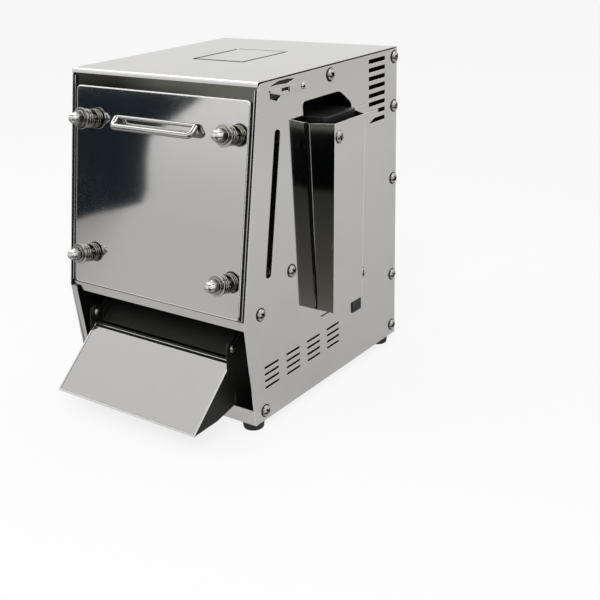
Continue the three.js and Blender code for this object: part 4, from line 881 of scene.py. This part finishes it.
def grown(name, mesh, tree, values):
    """Plain mesh that a tree grows from a starting mesh."""
    start = link(name + "_start", mesh)
    modifier = start.modifiers.new("grow", "NODES")
    modifier.node_group = tree
    for item in tree.interface.items_tree:
        if item.in_out == "INPUT" and item.name in values:
            modifier[item.identifier] = values[item.name]
    return taken_from(start)


def fasten(name, fastener, places, slot, seed=1):
    """One piece holding a fastener's copies, each at a place and facing a way."""
    points = bpy.data.meshes.new(name)
    points.from_pydata([tuple(place) for place, _ in places], [], [])
    layer = points.attributes.new("facing", "FLOAT_VECTOR", "POINT")
    layer.data.foreach_set("vector", [value for _, facing in places for value in facing])
    mesh = grown(name, points, FASTENERS, {"Fastener": fastener, "Seed": seed, "Material": MATERIALS[slot]})
    smoothed(mesh, 32)
    mark_edges(mesh, 0.3 * MM)
    finish_piece(name, mesh, [], "chassis")


# Screws of the casing
def cross_screw(radius, height):
    """Cross-recessed truss head, cut from a turned dome."""
    rim = height * SCREW_RIM_SHARE
    profile = [(0, 0), (radius, 0), (radius, rim)] + quarter(9, radius, rim, height - rim)
    scale = radius / SCREW_HEAD_RADIUS
    cutter = bmesh.new()
    for turn in (0, math.pi / 2):
        for vertex in bmesh.ops.create_cube(cutter, size=1)["verts"]:
            low = vertex.co.z < 0
            tapers = SCREW_RECESS_TAPERS if low else (1.0, 1.0)
            vertex.co.x *= SCREW_RECESS_LENGTH * scale * tapers[0]
            vertex.co.y *= SCREW_RECESS_WIDTH * scale * tapers[1]
            vertex.co.z = height - SCREW_RECESS_DEPTH * scale if low else height * 1.4
            vertex.co.rotate(Matrix.Rotation(turn, 3, "Z"))
    bmesh.ops.recalc_face_normals(cutter, faces=cutter.faces)
    tool = link("screw_recess", mesh_of(cutter, "screw_recess"))
    cut = {"operation": "DIFFERENCE", "solver": "EXACT", "use_self": True, "object": tool}
    head = lathe_mesh("screw_head", profile, Matrix(), SCREW_SIDES)
    final = modified("screw_head", head, {"BOOLEAN": cut})
    bpy.data.objects.remove(tool)
    return source("cross_screw", final)


def beside(name, sunk, y, z):
    """Place on the right side of a node, and the way that a fastener faces there."""
    return Vector((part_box(name)[1].x - sunk, FRONT_Y + y, BASE_Z + z)), (1, 0, 0)


def side_screws():
    places = []
    for y_share, z_share in SCREW_SHARES:
        for side in (-1, 1):
            place = casing(side * HALF_WIDTH, y_share * CASING_DEPTH, z_share * CASING_HEIGHT)
            places.append((place, (side, 0, 0)))
    places += [beside(*row) for row in COWL_SCREWS]
    fasten("casing_screws", cross_screw(SCREW_HEAD_RADIUS, SCREW_HEAD_HEIGHT), places, "bright_steel", seed=4)
    # Painted shadow: a thin black ring under each head
    ring = [(0, 0), (SCREW_SHADOW_RING_RADIUS, 0), (SCREW_SHADOW_RING_RADIUS, SCREW_SHADOW_RING_HEIGHT), (0, SCREW_SHADOW_RING_HEIGHT)]
    shadow_ring = source("screw_seal", lathe_mesh("screw_seal", ring, Matrix(), SCREW_SIDES))
    fasten("screw_seals", shadow_ring, places, "black_rubber")
    rivet = cross_screw(SCREW_HEAD_RADIUS * 0.5, SCREW_HEAD_HEIGHT * 0.4)
    fasten("strap_rivet", rivet, [beside(*STRAP_RIVET)], "bright_steel")


# Stud stacks of the cover
def hex_radius(radius, turn, corner):
    """Radius of a hexagon at an angle, never more than the turned radius."""
    across = (turn + math.pi / 6) % (math.pi / 3) - math.pi / 6
    return min(radius, corner * math.cos(math.pi / 6) / math.cos(across))


def dome_nuts():
    """Dome nuts on their two washers, from the spring outwards."""
    hex_low = 2 * WASHER_THICKNESS
    hex_high = hex_low + HEX_HEIGHT
    profile = [
        (STUD_RADIUS + CLEARANCE, 0), (WASHER_RADIUS, 0), (WASHER_RADIUS, WASHER_THICKNESS),
        (COLLAR_RADIUS, WASHER_THICKNESS), (COLLAR_RADIUS, hex_low), (HEX_RADIUS, hex_low),
        (HEX_RADIUS, hex_high - 1.1 * MM), (DOME_RADIUS * 1.02, hex_high), (DOME_RADIUS, hex_high + 0.2 * MM),
        *quarter(10, DOME_RADIUS, hex_high, DOME_HEIGHT, DOME_FULLNESS),
    ]

    def limit(radius, turn, height):
        inside = hex_low + 0.05 * MM < height < hex_high + 0.1 * MM
        return hex_radius(radius, turn, HEX_RADIUS) if inside else radius

    for stem, x, down in studs():
        place = facing_out(x, down, -STACK_START)
        turned_piece(stem + "_dome_nut", profile, place, MATERIALS["bright_steel"], 96, 0.3 * MM, limit, 30)


def thread_profile(low, high, radius):
    """Points of a thread's ridges along a stud."""
    points = []
    height = low
    while height + THREAD_PITCH < high:
        points += [(radius - THREAD_DEPTH, height), (radius, height + THREAD_PITCH / 2)]
        height += THREAD_PITCH
    return points + [(radius - THREAD_DEPTH, height)]


def columns():
    """Guide columns, whose front ends are threaded studs."""
    for stem, x, down in studs():
        name = stem + "_column"
        depths = [(TO_FACE @ vertex.co).y for vertex in frame["nodes"][name].data.vertices]
        front, rear = -min(depths), -max(depths)
        tail = rear + COLUMN_TAIL
        profile = [
            (0, rear), (COLUMN_TAIL_RADIUS, rear), (COLUMN_TAIL_RADIUS, tail), (COLUMN_RADIUS, tail),
            (COLUMN_RADIUS, STUD_SHOULDER), (STUD_RADIUS, STUD_SHOULDER),
            *thread_profile(STUD_SHOULDER + 0.3 * MM, front - THREAD_PITCH, STUD_RADIUS),
            (STUD_RADIUS * 0.8, front), (0, front),
        ]
        mesh = lathe_mesh(name, profile, facing_out(x, down), 40)
        smoothed(mesh, 40)
        mark_edges(mesh, 0.1 * MM)
        finish_node(name, mesh, MATERIALS["bright_steel"])


def springs():
    """Coil springs between the cover and the washers."""
    values = {
        "Radius": SPRING_RADIUS, "Wire": SPRING_WIRE, "Turns": SPRING_TURNS,
        "Length": SPRING_LENGTH - 2 * SPRING_WIRE - 2 * CLEARANCE, "Material": SPRING_STEEL,
    }
    for stem, x, down in studs():
        name = stem + "_spring"
        mesh = grown(name, bpy.data.meshes.new(name), COIL, values)
        mesh.transform(facing_out(x, down, -(SPRING_WIRE + 2 * CLEARANCE)))
        mark_edges(mesh, 0.01 * MM)
        finish_node(name, mesh)


def handle():
    """Handle: a bent bar whose legs rise to a thinner bar along the cover."""
    run = Vector((0, HANDLE_STANDOFF - CLEARANCE - HANDLE_BACK_RADIUS, HANDLE_RISE))
    leg_end = -CLEARANCE - HANDLE_RADIUS * HANDLE_RISE / run.length
    leg = run * ((leg_end + HANDLE_STANDOFF) / run.y)
    left = Vector((-HANDLE_HALF_LENGTH, -HANDLE_STANDOFF, -HANDLE_DOWN))
    right = Vector((HANDLE_HALF_LENGTH, -HANDLE_STANDOFF, -HANDLE_DOWN))
    bars = bmesh.new()
    for corners, radius in (([left + leg, left, right, right + leg], HANDLE_RADIUS),
                            ([left + run, right + run], HANDLE_BACK_RADIUS)):
        line = bpy.data.meshes.new("handle_line")
        links = [(i, i + 1) for i in range(len(corners) - 1)]
        line.from_pydata([tuple(FACE @ corner) for corner in corners], links, [])
        values = {"Radius": radius, "Bend": HANDLE_BEND, "Material": HANDLE_STEEL}
        bars.from_mesh(grown("handle_bar", line, BAR, values))
    mesh = mesh_of(bars, "handle")
    mark_edges(mesh, 0.01 * MM)
    finish_node("handle", mesh, HANDLE_STEEL)


# Small turned pieces
def column_nuts():
    """Hexagon nuts on their washers, with a bevelled crown, behind the rear cross plate."""
    corner, washer = NUT_CORNER * 1.02, NUT_WASHER * 0.16
    profile = [
        (0, 0), (NUT_WASHER, 0), (NUT_WASHER, washer), (corner, washer), (corner, NUT_HEIGHT * 0.86),
        (NUT_CORNER * 0.86, NUT_HEIGHT), (0, NUT_HEIGHT),
    ]

    def limit(radius, turn, level):
        on_washer = level < washer * 1.25 and radius > NUT_CORNER * 1.03
        return radius if on_washer else hex_radius(radius, turn, NUT_CORNER)

    eased = eased_profile(profile, NUT_HEIGHT * 0.05)
    nut = source("column_nut", lathe_mesh("column_nut", eased, Matrix(), 72, limit))
    places = [(FACE @ Vector((side * STUD_X, NUT_BEHIND, -down)), -FACE_NORMAL)
              for side in (-1, 1) for down in STUD_DOWNS.values()]
    fasten("column_nuts", nut, places, "plain_steel")


def feet():
    """Rubber feet with a ribbed skirt, hollow round their stud."""
    for name in ("front_left_foot", "front_right_foot", "rear_left_foot", "rear_right_foot"):
        low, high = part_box(name)
        centre = Vector(((low.x + high.x) / 2, (low.y + high.y) / 2, 0))
        profile = [(radius * MM, height * MM) for radius, height in FOOT_PROFILE]
        profile += [(FOOT_STUD_RADIUS, high.z), (0, high.z)]
        turned_piece(name, profile, Matrix.Translation(centre), MATERIALS["black_rubber"], 56, 0.4 * MM)


def chute_pivots():
    """Pins with a domed head on both sides of each chute cheek."""
    for name in ("left_chute_pivot", "right_chute_pivot"):
        low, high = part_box(name)
        shoulder = (high.x - low.x) / 2 - PIVOT_RISE
        outer = [(PIVOT_PIN, shoulder), (PIVOT_HEAD, shoulder), *quarter(7, PIVOT_HEAD, shoulder, PIVOT_RISE)]
        profile = [(radius, -height) for radius, height in reversed(outer)] + outer
        across = Matrix.Translation((low + high) / 2) @ Matrix.Rotation(math.radians(90), 4, "Y")
        turned_piece(name, profile, across, MATERIALS["bright_steel"], 48, 0.15 * MM)


# Sheet pieces
def sheet_pieces():
    # Inside faces take near-black steel that paints the shade inside the casing; the second list paints cut
    # edges with it too
    skin = [MIRROR, CUT_EDGE, PAINTED_SHADE_STEEL]
    shade_edged = [MIRROR, PAINTED_SHADE_STEEL, PAINTED_SHADE_STEEL]
    for name in ("right_panel", "left_panel", "rear_panel"):
        dressed(name, skin, skin_or_inside)
    dressed("base_pan", skin, pan_side)
    dressed("top_panel", shade_edged, skin_or_inside, wide=roof_bend, bend=2.4 * MM, steps=5)
    dressed("motor_cowl", [*skin, WALL_STEEL], cowl_side)
    dressed("discharge_chute", shade_edged, chute_side)
    dressed("catch_strap", [MIRROR], bend=0.4 * MM)
    dressed("hatch_lid", shade_edged, skin_or_inside)
    cover = dressed("front_cover", [MIRROR], wide=cover_rim, bend=1.9 * MM, steps=5)
    cover.data.materials.append(FOLD_STEEL)
    for face in cover.data.polygons:
        if (TO_FACE @ face.center).z < COVER_FOLD - COVER_BOTTOM:
            face.material_index = 1
    dressed("front_frame", [FRAME_STEEL_PAINTED_SHADE, FOLD_STEEL], frame_side, bend=0.5 * MM)
    # Deflector and chute brackets are near-black steel that paints the shade inside the casing
    for name in ("deflector", "left_chute_bracket", "right_chute_bracket"):
        dressed(name, [PAINTED_SHADE_STEEL])


# Trim
def beam(name, spans, material, matrix=IN_PLACE, ease=0.25 * MM, body_name="chassis"):
    """Eased bars on a body, each a span on every axis of a matrix, or two on Y where its top leans."""
    body = bmesh.new()
    for xs, ys, zs in spans:
        for vertex in bmesh.ops.create_cube(body, size=1)["verts"]:
            x, y, z = (0 if value < 0 else 1 for value in vertex.co)
            across = ys[z] if isinstance(ys[0], tuple) else ys
            vertex.co = Vector((xs[x], across[y], zs[z]))
    bmesh.ops.recalc_face_normals(body, faces=body.faces)
    body.transform(matrix)
    mesh = mesh_of(body, name)
    mesh.shade_smooth()
    final = modified(name, mesh, {"BEVEL": {"width": ease, "segments": 2, "harden_normals": True}})
    mark_edges(final, ease)
    finish_piece(name, final, [material], body_name)


def shade_strips(name, spans, matrix=IN_PLACE, ease=0.1 * MM, body_name="chassis"):
    """Black strips that paint the shade of gaps, grooves and creases as black lines."""
    beam(name, spans, GAP_SHADE_BLACK, matrix, ease, body_name)


def chute_hems():
    """Folded hems along the chute's tip, its two sides and its top edge, painted bright as a highlight, and
    black strips of painted shade in the creases beside them.
    """
    top, tip = Vector(CHUTE_TOP), Vector(CHUTE_TIP)
    slope = math.atan2(top.y - tip.y, top.x - tip.x)
    slide = Matrix.Translation(casing(0, top.x, top.y)) @ Matrix.Rotation(slope, 4, "X")
    end = -(top - tip).length
    half, inner, crease = CHUTE_HALF_WIDTH, CHUTE_HALF_WIDTH - HEM_WIDTH, CREASE_WIDTH
    band_low, band_high = TOP_BAND
    side_end = band_low - TOP_LINE
    fold = end + HEM_WIDTH
    hems = [
        ((-half, half), (end, fold), HEM_LEVELS),
        ((-half, half), (band_high, band_high + TOP_LINE), HEM_LEVELS),
        ((-half, half), (side_end, band_low), HEM_LEVELS),
        ((-half, -inner), (fold, side_end), HEM_LEVELS),
        ((inner, half), (fold, side_end), HEM_LEVELS),
    ]
    beam("chute_hems", hems, HEM_HIGHLIGHT_STEEL, slide, 0.2 * MM, "chute")
    creases = [
        ((-inner, inner), (fold, fold + crease), CREASE_LEVELS),
        ((-inner, inner), TOP_BAND, CREASE_LEVELS),
        ((inner - crease, inner), (fold + crease, side_end), CREASE_LEVELS),
        ((-inner, crease - inner), (fold + crease, side_end), CREASE_LEVELS),
    ]
    shade_strips("chute_hem_creases", creases, slide, 0.05 * MM, "chute")


def frame_lips():
    """Bright return lips beside the cover, black strips of painted shade in the grooves between them and the
    side panels, and one in the gap beside the cover.
    """
    lips = []
    grooves = []
    for side, outside, lip_level, groove_level in SIDE_LIPS:
        inner, outer, wall = side * (outside - SHEET), side * outside, side * INNER_HALF
        lips.append((sorted((inner, outer)), (lip_level, FRAME_PLATE), LIP_DOWNS))
        grooves.append((sorted((outer, wall)), (groove_level, FRAME_PLATE), LIP_DOWNS))
    gap = (COVER_HALF_WIDTH + CLEARANCE, SIDE_LIPS[1][1] - SHEET)
    grooves.append((gap, (GAP_SHADE_LEVEL, FRAME_PLATE), GAP_SHADE_DOWNS))
    beam("frame_lips", lips, MIRROR, FACE)
    shade_strips("frame_groove_seals", grooves, FACE)


def hatch_seal():
    """Black strip of painted shade in the gap between the roof and its hatch, with a low lip outside it."""
    (x0, x1), (y0, y1) = HATCH_X, HATCH_Y
    front, rear = y0 + HATCH_SHADE_WIDTH, y1 - HATCH_HINGE_END
    spans = []
    for out, levels in ((0, HATCH_SHADE_GAP_LEVELS), (HATCH_SHADE_LIP, HATCH_SHADE_LIP_LEVELS)):
        spans += [
            ((x0 - out, x1 + out), (y0 - out, front), levels),
            ((x0 - out, x0 + HATCH_SHADE_WIDTH), (front, rear), levels),
            ((x1 - HATCH_SHADE_WIDTH, x1 + out), (front, rear), levels),
        ]
    shade_strips("hatch_seal", spans)


# Trim in the casing's own frame: material, slot, easing, and spans of x, y and z
CASING_TRIM = {
    # Brushed strip inside the left panel, along its lower front edge
    "left_front_flange": (FLANGE_STEEL, "polished_steel", 0.1 * MM, [
        ((SHEET + 0.05 * MM - HALF_WIDTH, SHEET + 0.45 * MM - HALF_WIDTH),
         ((-33 * MM, -25 * MM), (-44.3 * MM, -36.3 * MM)), (1.5 * MM, 123 * MM)),
    ]),
    # Black strip of painted shade along the foot of the cowl's front wall
    "cowl_seal": (GAP_SHADE_BLACK, "black_rubber", 0.1 * MM, [
        ((HALF_WIDTH + 0.3 * MM, HALF_WIDTH + 1.5 * MM),
         ((92.3 * MM, 93 * MM), (81.8 * MM, 82.5 * MM)), (98.9 * MM, 321.2 * MM)),
    ]),
    # Light stiffener behind the foot of the cowl hole
    "cowl_hole_stiffener": (MIRROR, "polished_steel", 0.25 * MM, [
        ((INNER_HALF - SHEET, INNER_HALF), (82 * MM, 172 * MM), (74 * MM, 99 * MM)),
    ]),
    # Black sheets, 1 mm thick, inside the rear vents and the left vents, that paint the shade seen through them
    "vent_guards": (MATERIALS["black_rubber"], "black_rubber", 0.2 * MM, [
        ((-88 * MM, 88 * MM), (INNER_DEPTH - 1 * MM, INNER_DEPTH), (276 * MM, 340 * MM)),
        ((-INNER_HALF, 1 * MM - INNER_HALF), (205 * MM, 262 * MM), (280 * MM, 345 * MM)),
        ((-INNER_HALF, 1 * MM - INNER_HALF), (8 * MM, 120 * MM), (30 * MM, 100 * MM)),
    ]),
}


def casing_trim():
    for name, (material, slot, ease, spans) in CASING_TRIM.items():
        beam(name, spans, material, ease=ease)


def other_pieces():
    """Every node that no piece stands for yet, with its edges eased, in the material of its slot."""
    done = {name for piece in bpy.context.scene.objects for name in piece.get("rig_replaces", [])}
    for name in sorted(set(frame["nodes"]) - done):
        dressed(name, [MATERIALS[SLOT_OF[name]]], bend=0.5 * MM, ease=0.15 * MM)


# Studio. Its mirrored light is placed by where the photograph shows the steel bright and dark
FLOOR_SIZE = 14.0
FLOOR_GREY = (0.60, 0.595, 0.585)
FLOOR_LIT = (1.0, 0.995, 0.98)
FLOOR_WHITE = (0.93, 0.93, 0.93)
FLOOR_GLOW = 0.82
SOFT_LIGHT = 0.62
VIEWER_SIDE = (0.60, -0.79, 0.05)

# Greys of the mirrored floor at the right front of the press, along its last metres
BANDS_START = -1.4
FRONT_BANDS = [
    (0.0, (0.18, 0.181, 0.165)), (0.085, (0.17, 0.171, 0.155)), (0.11, (0.003, 0.004, 0.004)),
    (0.44, (0.001, 0.002, 0.002)), (0.46, (0.040, 0.042, 0.034)), (0.57, (0.056, 0.057, 0.048)),
    (0.71, (0.084, 0.082, 0.070)), (0.80, (0.125, 0.122, 0.107)), (0.86, (0.19, 0.185, 0.165)),
]

# Edge of a dark card's reflection on the cover, in pixels of the photograph, and the card's distance
DARK_CARD_PX = [
    (52, 84), (100, 80), (206, 94), (176, 118), (150, 137), (147, 160), (146.5, 190), (142, 203), (120, 209),
    (96, 214), (72, 222), (52, 228),
]
DARK_CARD_DISTANCE = 1.6
DARK_CARD_COLOR = (0.012, 0.018, 0.024)

# Lamps: place, size and power, all turned to one point
LAMP_TARGET = Vector((0, 0, 0.2))
LAMPS = {"key_lamp": ((0.9, -1.5, 1.9), 1.2, 22), "fill_lamp": ((-1.7, -0.9, 1.3), 1.4, 10)}


def cleared_tree(owner):
    """Empty node tree of a material or a world."""
    owner.use_nodes = True
    owner.node_tree.nodes.clear()
    return owner.node_tree


def glow(tree, color):
    return node(tree, "ShaderNodeEmission", {"Color": color, "Strength": 1.0})[0]


def backdrop(tree, color, strength):
    return node(tree, "ShaderNodeBackground", {"Color": color, "Strength": strength})[0]


def mixed(tree, share, first, second):
    """Mix of two shaders by a share, or by whether a ray is of one kind."""
    return node(tree, "ShaderNodeMixShader", {0: share, 1: first, 2: second})[0]


def staged(name, corners, material):
    """One flat face of the studio."""
    mesh = bpy.data.meshes.new(name)
    mesh.from_pydata([tuple(corner) for corner in corners], [], [tuple(range(len(corners)))])
    mesh.materials.append(material)
    made = link(name, mesh)
    return made


def mirrored_floor(tree, x, y):
    """Colour of the mirrored floor: dark bands at the right front, bright beside them, grey elsewhere."""
    bands = ramped(tree, ranged(tree, y, BANDS_START, 0.0, 0.0, 1.0), FRONT_BANDS)
    right = ranged(tree, x, 0.1, 0.14, 0.0, 1.0)
    ahead = ranged(tree, y, -0.19, -0.17, 1.0, 0.0)
    aside = total(tree, x, product(tree, y, 0.672))
    banded = product(tree, right, ahead, ranged(tree, aside, 0.25, 0.28, 1.0, 0.0))
    lit = product(tree, right, ranged(tree, aside, 0.27, 0.31, 0.0, 1.0), ahead)
    slant = difference(tree, x, product(tree, y, 0.93))
    left_front = ranged(tree, slant, -0.3, 0.0, 0.62, 1.0)
    right_rear = ranged(tree, x, 0.15, 0.75, 0.8, 1.06)
    behind = ranged(tree, y, -0.12, -0.04, 0.0, 1.0)
    shade = node(tree, "ShaderNodeMix", {0: behind, 2: left_front, 3: right_rear})[0]
    plain = blended(tree, lit, shaded(tree, FLOOR_GREY, shade), FLOOR_LIT)
    return blended(tree, banded, plain, bands)


def floor():
    """Pale floor: near white to the camera, a soft grey in the steel's reflections."""
    material = bpy.data.materials.new("pale_floor")
    tree = cleared_tree(material)
    path = node(tree, "ShaderNodeLightPath")
    x, y, _ = xyz(tree, object_place(tree))
    matt = node(tree, "ShaderNodeBsdfDiffuse", {"Color": (*FLOOR_WHITE, 1)})[0]
    seen = mixed(tree, FLOOR_GLOW, matt, glow(tree, (1, 1, 1, 1)))
    share = ranged(tree, y, -0.16, -0.1, 1.0, 0.7)
    mirrored = mixed(tree, share, matt, glow(tree, mirrored_floor(tree, x, y)))
    by_camera = mixed(tree, path["Is Camera Ray"], matt, seen)
    node(tree, "ShaderNodeOutputMaterial", {0: mixed(tree, path["Is Glossy Ray"], by_camera, mirrored)})
    half = FLOOR_SIZE / 2
    staged("floor", [(-half, -half, 0), (half, -half, 0), (half, half, 0), (-half, half, 0)], material)


def world():
    """Even studio light; in reflections it is brighter behind and overhead, and dark to the viewer's side."""
    made = bpy.data.worlds.new("studio")
    bpy.context.scene.world = made
    tree = cleared_tree(made)
    path = node(tree, "ShaderNodeLightPath")
    direction = node(tree, "ShaderNodeTexCoord")["Generated"]
    _, y, z = xyz(tree, direction)
    depth = ranged(tree, y, -0.7, 0.7, 0.62, 0.80)
    height = ranged(tree, z, 0.0, 0.7, 0.0, 0.06)
    overhead = product(
        tree, ranged(tree, z, 0.42, 0.58, 0.0, 1.1),
        ranged(tree, y, -0.3, -0.16, 0.0, 1.0), ranged(tree, y, 0.45, 0.62, 1.0, 0.0),
    )
    horizon = product(
        tree, ranged(tree, z, 0.0, 0.09, 0.0, 0.2), ranged(tree, y, -0.65, -0.5, 1.0, 0.0),
    )
    toward = node(tree, "ShaderNodeVectorMath", {0: direction, 1: VIEWER_SIDE}, operation="DOT_PRODUCT")[1]
    near = ranged(tree, toward, 0.55, 0.86, 0.0, 0.95)
    low = ranged(tree, z, 0.03, 0.3, 1.0, 0.1)
    dark = difference(tree, 1.0, product(tree, near, low))
    level = product(tree, total(tree, depth, height, overhead, horizon), dark)
    mirrored = backdrop(tree, (1.0, 0.998, 0.99, 1), level)
    glossy = mixed(tree, path["Is Glossy Ray"], backdrop(tree, (1, 1, 1, 1), SOFT_LIGHT), mirrored)
    seen = mixed(tree, path["Is Camera Ray"], glossy, backdrop(tree, (1, 1, 1, 1), 1.0))
    node(tree, "ShaderNodeOutputWorld", {0: seen})


def lamps():
    for name, (place, size, power) in LAMPS.items():
        data = bpy.data.lights.new(name, "AREA")
        data.shape = "DISK"
        data.size = size
        data.energy = power
        made = link(name, data)
        away = (Vector(place) - LAMP_TARGET).normalized()
        made.matrix_world = Matrix.Translation(place) @ away.to_track_quat("Z", "Y").to_matrix().to_4x4()
        made.visible_glossy = False


def dark_card():
    """Dark card, seen only in reflections, whose reflection lies across the upper left of the cover."""
    right, up, back = camera_axes()
    eye = casing(*CAMERA_EYE)
    corners = []
    for x_px, y_px in DARK_CARD_PX:
        across = (x_px - OPTICAL_X_PX) / FOCAL_PX
        rise = (OPTICAL_Y_PX - y_px) / FOCAL_PX
        ray = (across * right + rise * up - back).normalized()
        reach = (FACE.translation - eye).dot(FACE_NORMAL) / ray.dot(FACE_NORMAL)
        reflected = ray - 2 * ray.dot(FACE_NORMAL) * FACE_NORMAL
        corners.append(eye + ray * reach + reflected * DARK_CARD_DISTANCE)
    material = bpy.data.materials.new("dark_card")
    tree = cleared_tree(material)
    node(tree, "ShaderNodeOutputMaterial", {0: glow(tree, (*DARK_CARD_COLOR, 1))})
    card = staged("dark_card", corners, material)
    for ray_kind in ("camera", "diffuse", "shadow", "transmission"):
        setattr(card, "visible_" + ray_kind, False)


make_camera()
floor()
world()
lamps()
dark_card()

side_screws()
dome_nuts()
columns()
springs()
handle()
column_nuts()
feet()
chute_pivots()
sheet_pieces()
chute_hems()
frame_lips()
hatch_seal()
casing_trim()
other_pieces()

scene = bpy.context.scene
for spare in [thing for thing in scene.objects if thing.hide_render and "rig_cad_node" not in thing]:
    bpy.data.objects.remove(spare)
scene.view_settings.view_transform = "Standard"
